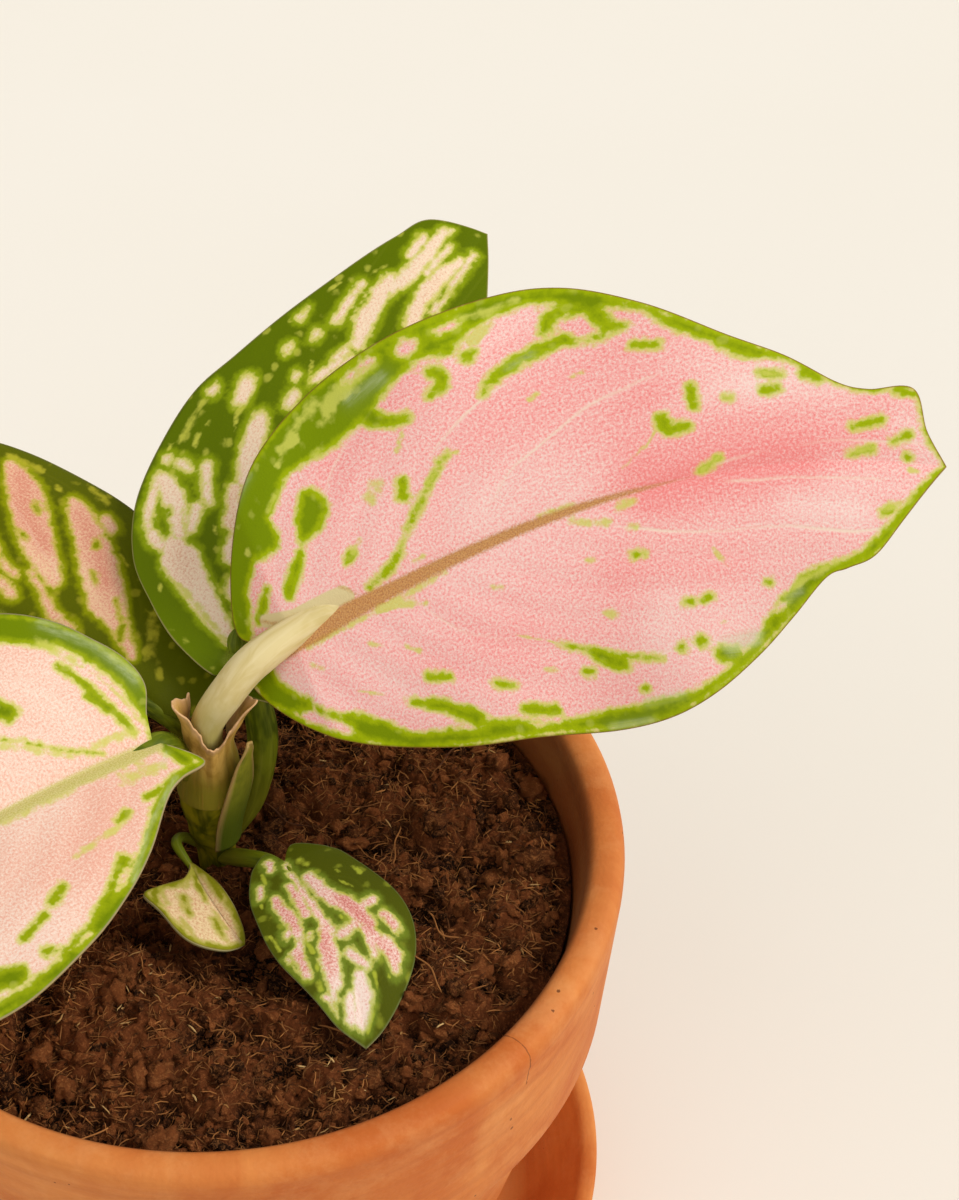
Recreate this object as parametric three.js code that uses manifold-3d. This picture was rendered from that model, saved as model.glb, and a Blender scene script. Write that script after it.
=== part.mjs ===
// A young chinese evergreen with pink and green leaves, in a terracotta pot on its saucer.
// Millimetres, +Z up. The origin is the middle of the saucer's flat underside.
import * as THREE from "three";
import { mergeVertices } from "three/addons/utils/BufferGeometryUtils.js";
import Module from "manifold-3d";

const wasm = await Module();
wasm.setup();

const v2 = (x, y) => new THREE.Vector2(x, y);
const v3 = (x, y, z) => new THREE.Vector3(x, y, z);
const up = v3(0, 0, 1);

// Air left between pieces that touch on the real plant
const gap = 0.3;
const potSegments = 60;

// Saucer: a shallow dish with a rounded rim
const saucerHeight = 23.3;
const saucerRimRadius = 68;
const saucerWall = 3.5;
const saucerBaseRadius = 56;
const saucerFloor = 6;

// Pot: tapered, with a tall band round its rim
const potHeight = 108;
const potTop = saucerFloor + potHeight;
const potFloor = 8;
const potBaseRadius = 45;
const potRimRadius = 70;
const bandHeight = 36;
const bandBottomRadius = 66.6;
const bandStep = 4;
const rimInnerRadius = 63.2;
const insideBottomRadius = 40.5;
const drainRadius = 8;

// Soil: its surface lies below the rim, in low clods
const soilDepthUnderRim = 11;
const soilTop = potTop - soilDepthUnderRim;
const soilSegments = 44;
const soilRings = 10;
const clodHeight = 1.3;
const crumbHeight = 0.8;
const moundHeight = 2;
const moundWidth = 10;

// Stem: its axis from under the soil to the crown, and its radii along it
const stemAxis = [v3(-1.5, 5, 82), v3(-1.6, 5, 104), v3(-1.3, 4.3, 121), v3(-0.9, 3.2, 135.5)];
const stemRadii = [3.6, 4.2, 6, 5.4, 3.4];
const stemSides = 12;
const stemSteps = 14;

// Blades: their cross lines lie closer together towards the petiole, by the power below. The
// petiole's line runs on under a blade as its midrib, through these shares of its length.
const bladeThickness = 0.8;
const ribSpacing = 1.4;
const ribShares = [0.3, 0.55, 0.8];
const shortRibShares = [0.4, 0.7];
const shortMidrib = 30;
const ribTipRadius = 0.5;

// One entry for each leaf. The midrib is a cubic curve. An edge point is a share of the
// midrib's length, which is below 0 on the lobes behind the petiole, and a distance from it.
const leaves = {
  leaf_right: {
    midrib: [v3(13.5, 8.5, 156), v3(41.5, 10.5, 171.5), v3(80.5, 18, 191), v3(117, 9, 191)],
    left: [
      [0, 0], [-0.07, 0.3], [-0.1, 3], [-0.075, 10], [-0.02, 18.5], [0.06, 27.3], [0.18, 33.8],
      [0.31, 36.8], [0.45, 37], [0.54, 34.8], [0.63, 29], [0.72, 21.5], [0.79, 16.8], [0.85, 12.2],
      [0.89, 11], [0.94, 11.3], [0.965, 7], [1, 0],
    ],
    right: [
      [0, 0], [-0.07, -0.3], [-0.115, -3.5], [-0.1, -9], [-0.04, -16.3], [0.05, -23], [0.18, -28.9],
      [0.3, -32.2], [0.42, -35.5], [0.52, -36], [0.61, -33.8], [0.7, -29.1], [0.77, -23.8],
      [0.83, -18.2], [0.865, -16.9], [0.91, -14.8], [0.95, -9], [1, 0],
    ],
    roll: [46, 44],
    fold: [6, 6],
    droop: [6, 10],
    reach: 36,
    lobeDrop: 28,
    wave: { height: 0.9, count: 3, phase: 0.2 },
    petiole: [v3(-0.9, 3, 133), v3(-0.6, 2.2, 140), v3(3, 2.4, 147), v3(8, 4.8, 152.5), v3(13.5, 8.2, 156)],
    petioleRadii: [3.2, 3.5, 3.7, 3.6, 2.8],
    colour: "#e9a7a0",
    blade: [26, 8],
  },
  leaf_back: {
    midrib: [v3(2.5, 10, 146.5), v3(10.5, 29.5, 154), v3(31.5, 60.5, 177), v3(46, 81, 181.5)],
    left: [
      [0, 0], [-0.04, 1.5], [0, 9], [0.07, 16.3], [0.14, 22.5], [0.24, 27], [0.36, 29], [0.46, 28.5],
      [0.55, 25], [0.66, 21.3], [0.77, 17], [0.88, 12.8], [0.955, 9.7], [1, 0],
    ],
    right: [
      [0, 0], [-0.05, -2], [-0.05, -9], [0.01, -17], [0.1, -23], [0.22, -27], [0.36, -28],
      [0.5, -25.5], [0.62, -20.5], [0.7, -16], [0.78, -11.5], [0.86, -7.5], [0.94, -3.4], [1, 0],
    ],
    roll: [8, 8],
    fold: [8, -6],
    droop: [6, 6],
    reach: 32,
    lobeDrop: 10,
    wave: { height: 0.8, count: 3, phase: 0.6 },
    petiole: [v3(0.5, 6, 107), v3(5.4, 8.4, 116), v3(7.4, 11.2, 127), v3(6, 13, 138), v3(2.5, 10.5, 146)],
    petioleRadii: [2, 2.4, 2.6, 2.4, 1.9],
    colour: "#6d8a25",
    blade: [24, 6],
  },
  leaf_back_left: {
    midrib: [v3(-10.5, 6.5, 139.5), v3(-34, 20, 150), v3(-66, 36, 155), v3(-100, 50, 149)],
    left: [
      [0, 0], [0.01, 1], [0.03, 4], [0.07, 10], [0.13, 17], [0.23, 24], [0.36, 27.5], [0.5, 26],
      [0.64, 21], [0.77, 14.5], [0.88, 8], [0.95, 4], [1, 0],
    ],
    right: [
      [0, 0], [-0.07, -2.5], [-0.09, -9], [-0.02, -18], [0.08, -24.7], [0.2, -28.4], [0.33, -30.6],
      [0.47, -31.8], [0.6, -28], [0.75, -19], [0.87, -10.5], [0.95, -5], [1, 0],
    ],
    roll: [-10, -6],
    fold: [10, 10],
    droop: [7, 7],
    reach: 32,
    lobeDrop: 10,
    wave: { height: 0.8, count: 3, phase: 0.1 },
    petiole: [v3(-2.4, 6, 127), v3(-5.6, 7, 133.5), v3(-8.2, 7, 137), v3(-10.5, 6.7, 139.5)],
    petioleRadii: [1.8, 1.8, 1.7, 1.5],
    colour: "#b9a465",
    blade: [24, 6],
  },
  leaf_front_left: {
    midrib: [v3(-9, -4, 142), v3(-37, -21, 143), v3(-68, -40, 136), v3(-96, -56, 118)],
    left: [
      [0, 0], [-0.02, 1.5], [-0.06, 7], [-0.01, 8.5], [0.03, 11], [0.1, 18.5], [0.17, 24],
      [0.26, 29], [0.38, 32.5], [0.5, 31.5], [0.64, 26], [0.78, 17], [0.9, 8], [1, 0],
    ],
    right: [
      [0, 0], [-0.01, -4.5], [-0.03, -9.5], [-0.02, -14.5], [0.015, -20], [0.06, -26], [0.13, -31],
      [0.24, -34], [0.38, -34], [0.52, -31], [0.66, -25], [0.8, -16], [0.91, -8], [1, 0],
    ],
    roll: [-22, -14],
    fold: [20, 14],
    droop: [5, 8],
    reach: 34,
    lobeDrop: 10,
    wave: { height: 0.8, count: 3, phase: 0.4 },
    petiole: [v3(-3.6, 2.4, 128), v3(-6.2, 0.2, 135), v3(-8.2, -2.4, 139.6), v3(-10.5, -4.9, 142)],
    petioleRadii: [2.6, 2.6, 2.4, 1.9],
    colour: "#e8b5a0",
    blade: [24, 6],
  },
  leaf_small: {
    midrib: [v3(11.5, -6.5, 115), v3(15, -14, 113), v3(24, -20.5, 114.5), v3(26, -39, 106)],
    left: [
      [0, 0], [-0.1, 2.2], [-0.05, 5.9], [0.04, 9.2], [0.2, 11.5], [0.34, 12.9], [0.5, 14],
      [0.62, 13.6], [0.74, 11.4], [0.85, 7.8], [0.95, 3.4], [1, 0],
    ],
    right: [
      [0, 0], [-0.09, -2.4], [-0.04, -5], [0.06, -7.3], [0.16, -8.9], [0.3, -10], [0.44, -10.6],
      [0.58, -10.3], [0.7, -9.1], [0.82, -7], [0.93, -4.2], [1, 0],
    ],
    roll: [0, 0],
    fold: [5, 5],
    droop: [3, 3],
    reach: 13,
    lobeDrop: 3,
    wave: { height: 0.3, count: 2, phase: 0.3 },
    petiole: [v3(-0.5, 3, 105.5), v3(4, -1, 109.5), v3(8, -4.6, 113), v3(11.5, -6.5, 115)],
    petioleRadii: [1.7, 1.7, 1.6, 1.1],
    colour: "#4d7036",
    blade: [22, 4],
  },
  leaf_curled: {
    midrib: [v3(-5, -4.5, 112.5), v3(-3, -9, 111.5), v3(2, -17, 111), v3(5, -19, 108)],
    left: [
      [0, 0], [0.05, 0.6], [0.2, 1.6], [0.35, 2.4], [0.5, 2.6], [0.65, 2.4], [0.8, 1.8],
      [0.92, 1], [1, 0],
    ],
    right: [
      [0, 0], [0.1, -0.8], [0.2, -3], [0.22, -7.5], [0.26, -10.6], [0.45, -9.6], [0.72, -8.3],
      [0.9, -4.6], [1, 0],
    ],
    roll: [0, 0],
    fold: [25, 25],
    droop: [1, 1],
    reach: 10,
    lobeDrop: 3,
    wave: { height: 0.3, count: 2, phase: 0.1 },
    petiole: [v3(-3.5, 4, 107), v3(-6.6, 2, 111.5), v3(-7.4, -1.4, 113.6), v3(-5, -4.5, 112.5)],
    petioleRadii: [0.9, 0.9, 0.9, 0.8],
    colour: "#b9ad72",
    blade: [16, 4],
  },
};

// The sheath that wraps the stem stands out of it at the right, in a narrow pointed tip
const tipFoot = v3(-1.3, 4.3, 112);
const tipTop = v3(-0.7, 2.9, 139);
const tipFootRadius = 5.4;
const tipTopRadius = 7;
const tipTurn = -38;
const tipHalfWrap = 34;

// Papery sheath: a torn funnel round the foot of the main petiole
const sheathAxis = [v3(-1, 3.4, 130), v3(-0.7, 2.6, 137), v3(0.9, 2.2, 143), v3(2.6, 2.4, 147)];
const sheathRadii = [5.9, 5.2, 4.6, 5.1];
const sheathWrap = 230;
const sheathTurn = -80;
const sheathThickness = 0.7;
const sheathDip = 0.28;
const sheathCorner = 0.8;
const sheathCornerDrop = 0.12;

// A closed geometry as a solid. Triangles that a pole has collapsed are dropped.
function solidOf(geometry) {
  const plain = new THREE.BufferGeometry();
  plain.setAttribute("position", geometry.getAttribute("position"));
  plain.setIndex(geometry.index);
  const merged = mergeVertices(plain, 1e-3);
  const corners = merged.index.array;
  const kept = [];
  for (let i = 0; i < corners.length; i += 3) {
    const [a, b, c] = corners.slice(i, i + 3);
    if (a !== b && b !== c && c !== a) kept.push(a, b, c);
  }
  return new wasm.Manifold(
    new wasm.Mesh({
      numProp: 3,
      vertProperties: merged.attributes.position.array,
      triVerts: new Uint32Array(kept),
    }),
  );
}

// A solid cut by others, without the loose scraps that the cuts leave
function cutBy(solid, cutters) {
  const cut = cutters.reduce((left, cutter) => left.subtract(cutter), solid);
  return cut.decompose().sort((a, b) => b.volume() - a.volume())[0];
}

function meshOf(name, solid, finish) {
  const made = solid.getMesh();
  const geometry = new THREE.BufferGeometry();
  geometry.setAttribute("position", new THREE.BufferAttribute(new Float32Array(made.vertProperties), 3));
  geometry.setIndex(new THREE.BufferAttribute(new Uint32Array(made.triVerts), 1));
  geometry.computeVertexNormals();
  const mesh = new THREE.Mesh(geometry, new THREE.MeshStandardMaterial(finish));
  mesh.name = name;
  return mesh;
}

// A profile of radii and heights, turned round the Z axis
function turned(profile, segments) {
  return new THREE.LatheGeometry(profile, segments).rotateX(Math.PI / 2);
}

// A value along a list, by smooth steps between its entries
function along(values, t) {
  const place = t * (values.length - 1);
  const i = Math.min(Math.floor(place), values.length - 2);
  const share = THREE.MathUtils.smoothstep(place - i, 0, 1);
  return THREE.MathUtils.lerp(values[i], values[i + 1], share);
}

// A round stalk along a curve, with its radii given along it, made wider all round by extra
function stalk(points, radii, extra = 0, sides = 8, steps = 12) {
  const curve = new THREE.CatmullRomCurve3(points);
  const geometry = new THREE.CylinderGeometry(1, 1, 1, sides, steps);
  const position = geometry.getAttribute("position");
  for (let i = 0; i < position.count; i++) {
    const t = position.getY(i) + 0.5;
    const tangent = curve.getTangent(t);
    const across = v3(1, 0, 0).addScaledVector(tangent, -tangent.x).normalize();
    const forward = across.clone().cross(tangent);
    const radius = along(radii, t) + extra;
    const place = curve.getPoint(t)
      .addScaledVector(across, position.getX(i) * radius)
      .addScaledVector(forward, position.getZ(i) * radius)
      .addScaledVector(tangent, (2 * t - 1) * extra);
    position.setXYZ(i, place.x, place.y, place.z);
  }
  return solidOf(geometry);
}

// A thin closed sheet. The surface gives a point and the direction of its thickness, for a
// share of the length from 0 to 1 and a place across from -1 to 1. Both faces get the same
// triangles, and a rim joins them.
function sheet(surface, alongSteps, acrossSteps, thickness) {
  const plane = new THREE.PlaneGeometry(2, 1, acrossSteps, alongSteps);
  const grid = plane.getAttribute("position");
  const count = grid.count;
  const positions = new Float32Array(count * 6);
  for (let i = 0; i < count; i++) {
    const { point, normal } = surface(grid.getY(i) + 0.5, grid.getX(i));
    for (const [side, start] of [[0.5, 0], [-0.5, count]]) {
      const place = point.clone().addScaledVector(normal, side * thickness);
      place.toArray(positions, (start + i) * 3);
    }
  }
  const faces = [...plane.index.array];
  const upper = faces.length;
  for (let i = 0; i < upper; i += 3) {
    faces.push(faces[i] + count, faces[i + 2] + count, faces[i + 1] + count);
  }
  const row = acrossSteps + 1;
  const border = [];
  for (let i = 0; i < acrossSteps; i++) border.push(i);
  for (let j = 0; j < alongSteps; j++) border.push(j * row + acrossSteps);
  for (let i = acrossSteps; i > 0; i--) border.push(alongSteps * row + i);
  for (let j = alongSteps; j > 0; j--) border.push(j * row);
  border.forEach((a, i) => {
    const b = border[(i + 1) % border.length];
    faces.push(a, b, b + count, a, b + count, a + count);
  });
  const geometry = new THREE.BufferGeometry();
  geometry.setAttribute("position", new THREE.BufferAttribute(positions, 3));
  geometry.setIndex(faces);
  return solidOf(geometry);
}

// The surface of a leaf's blade
function bladeSurface(leaf) {
  const midrib = new THREE.CubicBezierCurve3(...leaf.midrib);
  const edges = [leaf.left, leaf.right].map((edge) => new THREE.SplineCurve(edge.map(([s, v]) => v2(s, v))));
  const step = 1e-3;
  const start = midrib.getPoint(0);
  const startSlope = midrib.getPoint(step).sub(start).divideScalar(step);
  return (k, t) => {
    const reachOut = Math.abs(t);
    const side = t < 0 ? 0 : 1;
    const edge = edges[side].getPoint(k);
    const share = k ** ribSpacing * (1 - reachOut) + edge.x * reachOut;
    const out = edge.y * reachOut;
    const s = THREE.MathUtils.clamp(share, 0, 1);
    const tangent = midrib.getTangent(s);
    const across = up.clone().cross(tangent).normalize();
    const normal = tangent.clone().cross(across);
    const roll = THREE.MathUtils.degToRad(THREE.MathUtils.lerp(...leaf.roll, s));
    normal.applyAxisAngle(tangent, roll);
    across.applyAxisAngle(tangent, roll);
    const bend = (Math.abs(out) / leaf.reach) ** 2;
    const fold = Math.tan(THREE.MathUtils.degToRad(leaf.fold[side]));
    const { height, count, phase } = leaf.wave;
    const ripple = height * Math.sin(2 * Math.PI * (count * share + phase + side / 3)) * bend;
    const rise = fold * Math.abs(out) - leaf.droop[side] * bend + ripple
      - leaf.lobeDrop * Math.max(-share, 0);
    const point = midrib.getPoint(s)
      .addScaledVector(startSlope, Math.min(share, 0))
      .addScaledVector(across, out)
      .addScaledVector(normal, rise);
    return { point, normal };
  };
}

// The midrib's line, half in the blade's lower face
function ribPath(leaf) {
  const midrib = new THREE.CubicBezierCurve3(...leaf.midrib);
  const surface = bladeSurface(leaf);
  const shares = midrib.getLength() > shortMidrib ? ribShares : shortRibShares;
  return shares.map((k) => {
    const { point, normal } = surface(k, 0);
    return point.addScaledVector(normal, -bladeThickness / 2);
  });
}

function leafSolid(leaf, cutters) {
  const blade = sheet(bladeSurface(leaf), leaf.blade[0], leaf.blade[1], bladeThickness);
  const rib = ribPath(leaf);
  const thin = leaf.petioleRadii.at(-1);
  const ribRadii = rib.map((_, i) => THREE.MathUtils.lerp(thin / 2, ribTipRadius, i / (rib.length - 1)));
  const line = [...leaf.petiole, ...rib];
  const body = stalk(line, [...leaf.petioleRadii, ...ribRadii], 0, 8, 2 * line.length);
  return cutBy(blade.add(body), cutters);
}

// Low clods of soil, a little higher round the stem
function soilHeight(x, y) {
  const [foot] = stemAxis;
  const clod = clodHeight * Math.sin(x / 7.1 + 1.3) * Math.cos(y / 8.3 - 0.4);
  const crumb = crumbHeight * Math.sin(x / 3.9 - y / 4.7 + 2);
  const away = Math.hypot(x - foot.x, y - foot.y) / moundWidth;
  return clod + crumb + moundHeight * Math.exp(-(away ** 2) / 2);
}

function saucerSolid() {
  const inside = saucerRimRadius - saucerWall;
  const profile = [
    v2(0, 0),
    v2(saucerBaseRadius - 1, 0),
    v2(saucerBaseRadius, 1),
    v2(saucerRimRadius - 0.4, saucerHeight - 3),
    v2(saucerRimRadius, saucerHeight - 1.5),
    v2(saucerRimRadius - 0.7, saucerHeight - 0.3),
    v2(saucerRimRadius - 1.8, saucerHeight),
    v2(inside, saucerHeight - 0.9),
    v2(saucerBaseRadius - 2, saucerFloor + 2),
    v2(saucerBaseRadius - 4.5, saucerFloor),
    v2(0, saucerFloor),
  ];
  return solidOf(turned(profile, potSegments));
}

// The inside of the pot's wall, and of the soil, at a height
function insideRadius(z) {
  const low = saucerFloor + potFloor;
  return THREE.MathUtils.mapLinear(z, low, potTop - 5, insideBottomRadius, rimInnerRadius - 0.7);
}

function potSolid() {
  const low = saucerFloor;
  const bandBottom = potTop - bandHeight;
  const profile = [
    v2(drainRadius, low),
    v2(potBaseRadius - 1.2, low),
    v2(potBaseRadius, low + 1.2),
    v2(bandBottomRadius - bandStep, bandBottom - 1.5),
    v2(bandBottomRadius - 1, bandBottom),
    v2(bandBottomRadius, bandBottom + 1.2),
    v2(potRimRadius, potTop - 3.4),
    v2(potRimRadius - 0.5, potTop - 1.4),
    v2(potRimRadius - 1.9, potTop - 0.3),
    v2(potRimRadius - 3.4, potTop),
    v2(rimInnerRadius + 1.4, potTop - 0.5),
    v2(rimInnerRadius + 0.3, potTop - 1.8),
    v2(rimInnerRadius - 0.7, potTop - 5),
    v2(insideRadius(low + potFloor + 3), low + potFloor + 3),
    v2(insideBottomRadius - 3, low + potFloor),
    v2(drainRadius, low + potFloor),
    v2(drainRadius, low),
  ];
  return solidOf(turned(profile, potSegments));
}

function soilSolid() {
  const low = saucerFloor + potFloor;
  const edge = insideRadius(soilTop) - gap;
  const profile = [
    v2(0, low),
    v2(insideBottomRadius - 3 - gap, low),
    v2(insideRadius(low + 3) - gap, low + 3),
    v2(edge, soilTop),
  ];
  for (let i = soilRings - 1; i >= 0; i--) profile.push(v2((edge * i) / soilRings, soilTop));
  const geometry = turned(profile, soilSegments);
  const position = geometry.getAttribute("position");
  for (let i = 0; i < position.count; i++) {
    const [x, y, z] = [position.getX(i), position.getY(i), position.getZ(i)];
    const calm = THREE.MathUtils.smoothstep(edge - Math.hypot(x, y), -3, 8);
    if (z > soilTop - 0.01) position.setZ(i, soilTop + soilHeight(x, y) * calm);
  }
  return solidOf(geometry);
}

// The papery sheath's surface: it wraps its axis, and its rim rises from a dip at the front to a
// corner at either end of the wrap
function sheathSurface(k, t) {
  const axis = new THREE.CatmullRomCurve3(sheathAxis);
  const turn = THREE.MathUtils.degToRad(sheathTurn + (t * sheathWrap) / 2);
  const side = Math.abs(t);
  const corner = Math.max(side - sheathCorner, 0) / (1 - sheathCorner);
  const s = k * (1 - sheathDip * (1 - side ** 1.5) - sheathCornerDrop * corner);
  const radius = along(sheathRadii, s);
  const normal = v3(Math.cos(turn), Math.sin(turn), 0);
  const point = axis.getPoint(s).addScaledVector(normal, radius);
  return { point, normal };
}

// The surface of the stem sheath's tip, which narrows to a point
function tipSurface(k, t) {
  const turn = THREE.MathUtils.degToRad(tipTurn + t * tipHalfWrap * (1 - 0.95 * k ** 1.5));
  const normal = v3(Math.cos(turn), Math.sin(turn), 0);
  const radius = THREE.MathUtils.lerp(tipFootRadius, tipTopRadius, k);
  const point = tipFoot.clone().lerp(tipTop, k).addScaledVector(normal, radius);
  return { point, normal };
}

const stemBody = stalk(stemAxis, stemRadii, 0, stemSides, stemSteps);
const stem = stemBody.add(sheet(tipSurface, 7, 4, sheathThickness));
const stemClear = stalk(stemAxis, stemRadii, gap, stemSides, stemSteps);
const tipClear = sheet(tipSurface, 7, 4, sheathThickness + 2 * gap);

const plant = new THREE.Group();
const terracotta = { color: "#c9825a", roughness: 0.85, metalness: 0 };
plant.add(meshOf("saucer", saucerSolid(), terracotta));
plant.add(meshOf("pot", potSolid(), terracotta));
plant.add(meshOf("stem", stem, { color: "#75801f", roughness: 0.5, metalness: 0 }));

const petiolesClear = [];
for (const [name, leaf] of Object.entries(leaves)) {
  const solid = leafSolid(leaf, [stemClear]);
  plant.add(meshOf(name, solid, { color: leaf.colour, roughness: 0.45, metalness: 0 }));
  petiolesClear.push(stalk(leaf.petiole, leaf.petioleRadii, gap));
}

// The stem and the lowest petioles stand in plain holes in the soil
const soil = cutBy(soilSolid(), [stemClear, ...petiolesClear]);
plant.add(meshOf("soil", soil, { color: "#3b2216", roughness: 1, metalness: 0 }));
const sheath = cutBy(sheet(sheathSurface, 6, 12, sheathThickness), [stemClear, tipClear, ...petiolesClear]);
plant.add(meshOf("sheath", sheath, { color: "#c9a878", roughness: 0.8, metalness: 0 }));

export default plant;
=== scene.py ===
import math
import random
from functools import partial

import bmesh
import bpy
import numpy as np
from mathutils import Matrix, Vector, noise


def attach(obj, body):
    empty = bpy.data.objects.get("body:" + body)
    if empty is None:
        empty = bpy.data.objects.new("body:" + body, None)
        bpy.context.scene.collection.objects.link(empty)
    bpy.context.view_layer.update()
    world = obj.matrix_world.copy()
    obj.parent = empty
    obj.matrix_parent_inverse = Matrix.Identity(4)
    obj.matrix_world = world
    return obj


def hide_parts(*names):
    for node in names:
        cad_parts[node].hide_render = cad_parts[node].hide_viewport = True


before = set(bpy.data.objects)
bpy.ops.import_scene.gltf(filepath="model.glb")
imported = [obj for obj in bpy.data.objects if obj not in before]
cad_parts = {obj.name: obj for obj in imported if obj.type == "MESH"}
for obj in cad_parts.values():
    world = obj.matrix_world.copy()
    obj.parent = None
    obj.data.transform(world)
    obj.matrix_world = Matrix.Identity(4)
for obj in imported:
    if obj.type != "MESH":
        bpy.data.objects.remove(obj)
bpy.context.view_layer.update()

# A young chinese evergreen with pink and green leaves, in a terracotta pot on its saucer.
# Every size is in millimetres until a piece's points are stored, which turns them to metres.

METRES = 0.001
UP = np.array([0.0, 0.0, 1.0])

# The camera: how far it looks down, where it stands, and its lens for a 36 mm wide film
CAMERA_PLACE = (44.6, -315.4, 480.0)
CAMERA_DOWN = 44.42
CAMERA_LENS = 84.0

# Even lights from far off, as from a large window or panel: the way to each, how wide it is in
# degrees, its power and its colour; and the light of the room
LIGHTS = [
    ("window_light", (1.0, -0.1, 0.95), 32, 2.1, (1.0, 0.985, 0.95)),
    ("fill_light", (-0.5, -1.0, 1.3), 60, 0.55, (1.0, 0.985, 0.96)),
]
SKY_COLOUR = (1.0, 0.975, 0.94, 1)
SKY_POWER = 0.5

# Pot and saucer
SAUCER_FLOOR = 6
SAUCER_HEIGHT = 23.3
SAUCER_RIM = 68
SAUCER_BASE = 56
POT_TOP = 114
POT_FLOOR = 8
POT_BASE = 45
POT_RIM = 70
BAND_HEIGHT = 36
BAND_BOTTOM = 66.6
BAND_STEP = 4
RIM_INSIDE = 63.2
INSIDE_BOTTOM = 40.5
DRAIN = 8
TURN_STEPS = 180
# How far the pot and the saucer are out of true
POT_UNEVEN = 0.12
SAUCER_UNEVEN = 0.1

# The painted shade on the wall inside the rim, and the crack in the lip: how far down each goes,
# where the crack is, and how wide it is and wanders
WALL_SHADE_DEPTH = 30
CRACK_LENGTH = 9
CRACK_WIDTH = 0.12
CRACK_WANDER = 3
CRACK_ANGLE = math.radians(-41)
CRACK_SIDE = (-math.sin(CRACK_ANGLE), math.cos(CRACK_ANGLE), 0)

# Soil: its height, the radius of its top and foot, how near the stem and how far out crumbs and
# fibres lie, the share of straw in groups, and the clods and hollows as x, y, radius and height
SOIL_TOP = 103
SOIL_EDGE = 60.6
SOIL_FOOT = 37
SOIL_STEPS = 270
STEM_CLEAR = 4.5
SCATTER_EDGE = SOIL_EDGE - 2.2
GROUPED_SHARE = 0.35
CLODS = [
    (39, -27, 8, 4.5), (47, -9, 5, 3.5), (53, 4, 5, 2.6), (50, -20, 4.5, 2.6), (-14, -31, 12, 4.5),
    (2, -46, 6, 3.2), (-25, -38, 6, 2.6), (20, -45, 5, 2.6), (29, 0, 6, 2.4), (38, 12, 6, 2.6),
    (18, 19, 6, 2.2), (45, 23, 6, 2.8), (13, 9, 5, 2), (-18, -20, 7, 2.6), (28, -34, 6, 2.4),
    (12, -30, 6, 1.6), (30, 38, 7, 3), (4, 48, 8, 3), (-26, 40, 7, 2.6), (-45, 20, 8, 3.2),
    (-46, -8, 8, 2.6), (-38, -34, 6, 2.2), (0, 28, 7, 2), (-26, 14, 8, 2),
]
HOLLOWS = [
    (12, -42, 4, -3.4), (-27, -46, 5, -2.6), (29, -47, 4, -2.6), (6, -20, 5, -2.8),
    (34, -7, 4, -3.2), (22, 6, 5, -2.6), (44, 2, 4, -3), (-2, -36, 3, -2.4), (46, 14, 4, -2.4),
    (31, -19, 3.5, -2), (56, -12, 4, -2.2), (10, 34, 6, -2.6), (-12, 40, 5, -2.6), (-38, 4, 6, -2.6),
]

# Where pale straw lies in groups: x, y and spread
STRAW_GROUPS = [(-30, -38, 8), (2, -46, 6), (16, -47, 4), (56, 4, 3), (24, -42, 3), (-16, -30, 7)]

# Blades: their thickness, how the rows of their mesh gather at the base, the side veins and the
# grooves over them, the channel over the midrib, the gloss, and the facts that a skin reads
BLADE_THICKNESS = 0.6
CROSS_SPACING = 1.4
VEIN_SPACING = 7.6
VEIN_FIRST = 5
VEIN_LAST = 0.65
VEIN_BEND = 0.155
GROOVE_DEPTH = 0.06
CHANNEL_DEPTH = 0.5
CHANNEL_WIDTH = 1.3
LEAF_SHINE = 0.07
LEAF_FACTS = (
    "green", "coral", "cream", "crowd", "nerve", "lime", "bloom", "ivory", "rib", "border",
)
SOFT_COLOURS = ("coral", "cream", "lime", "bloom", "nerve", "ivory")

# How a petiole ends in its midrib: at which shares of it, how deep under it, and how thin, both as
# shares of the petiole's last radius
RIB_SHARES = np.array([0.05, 0.11, 0.2, 0.4, 0.7])
RIB_SINKS = np.array([0.42, 0.85, 1.0, 0.9, 0.55])
RIB_TAPER = np.array([0.95, 0.8, 0.62, 0.45, 0.2])
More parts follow.
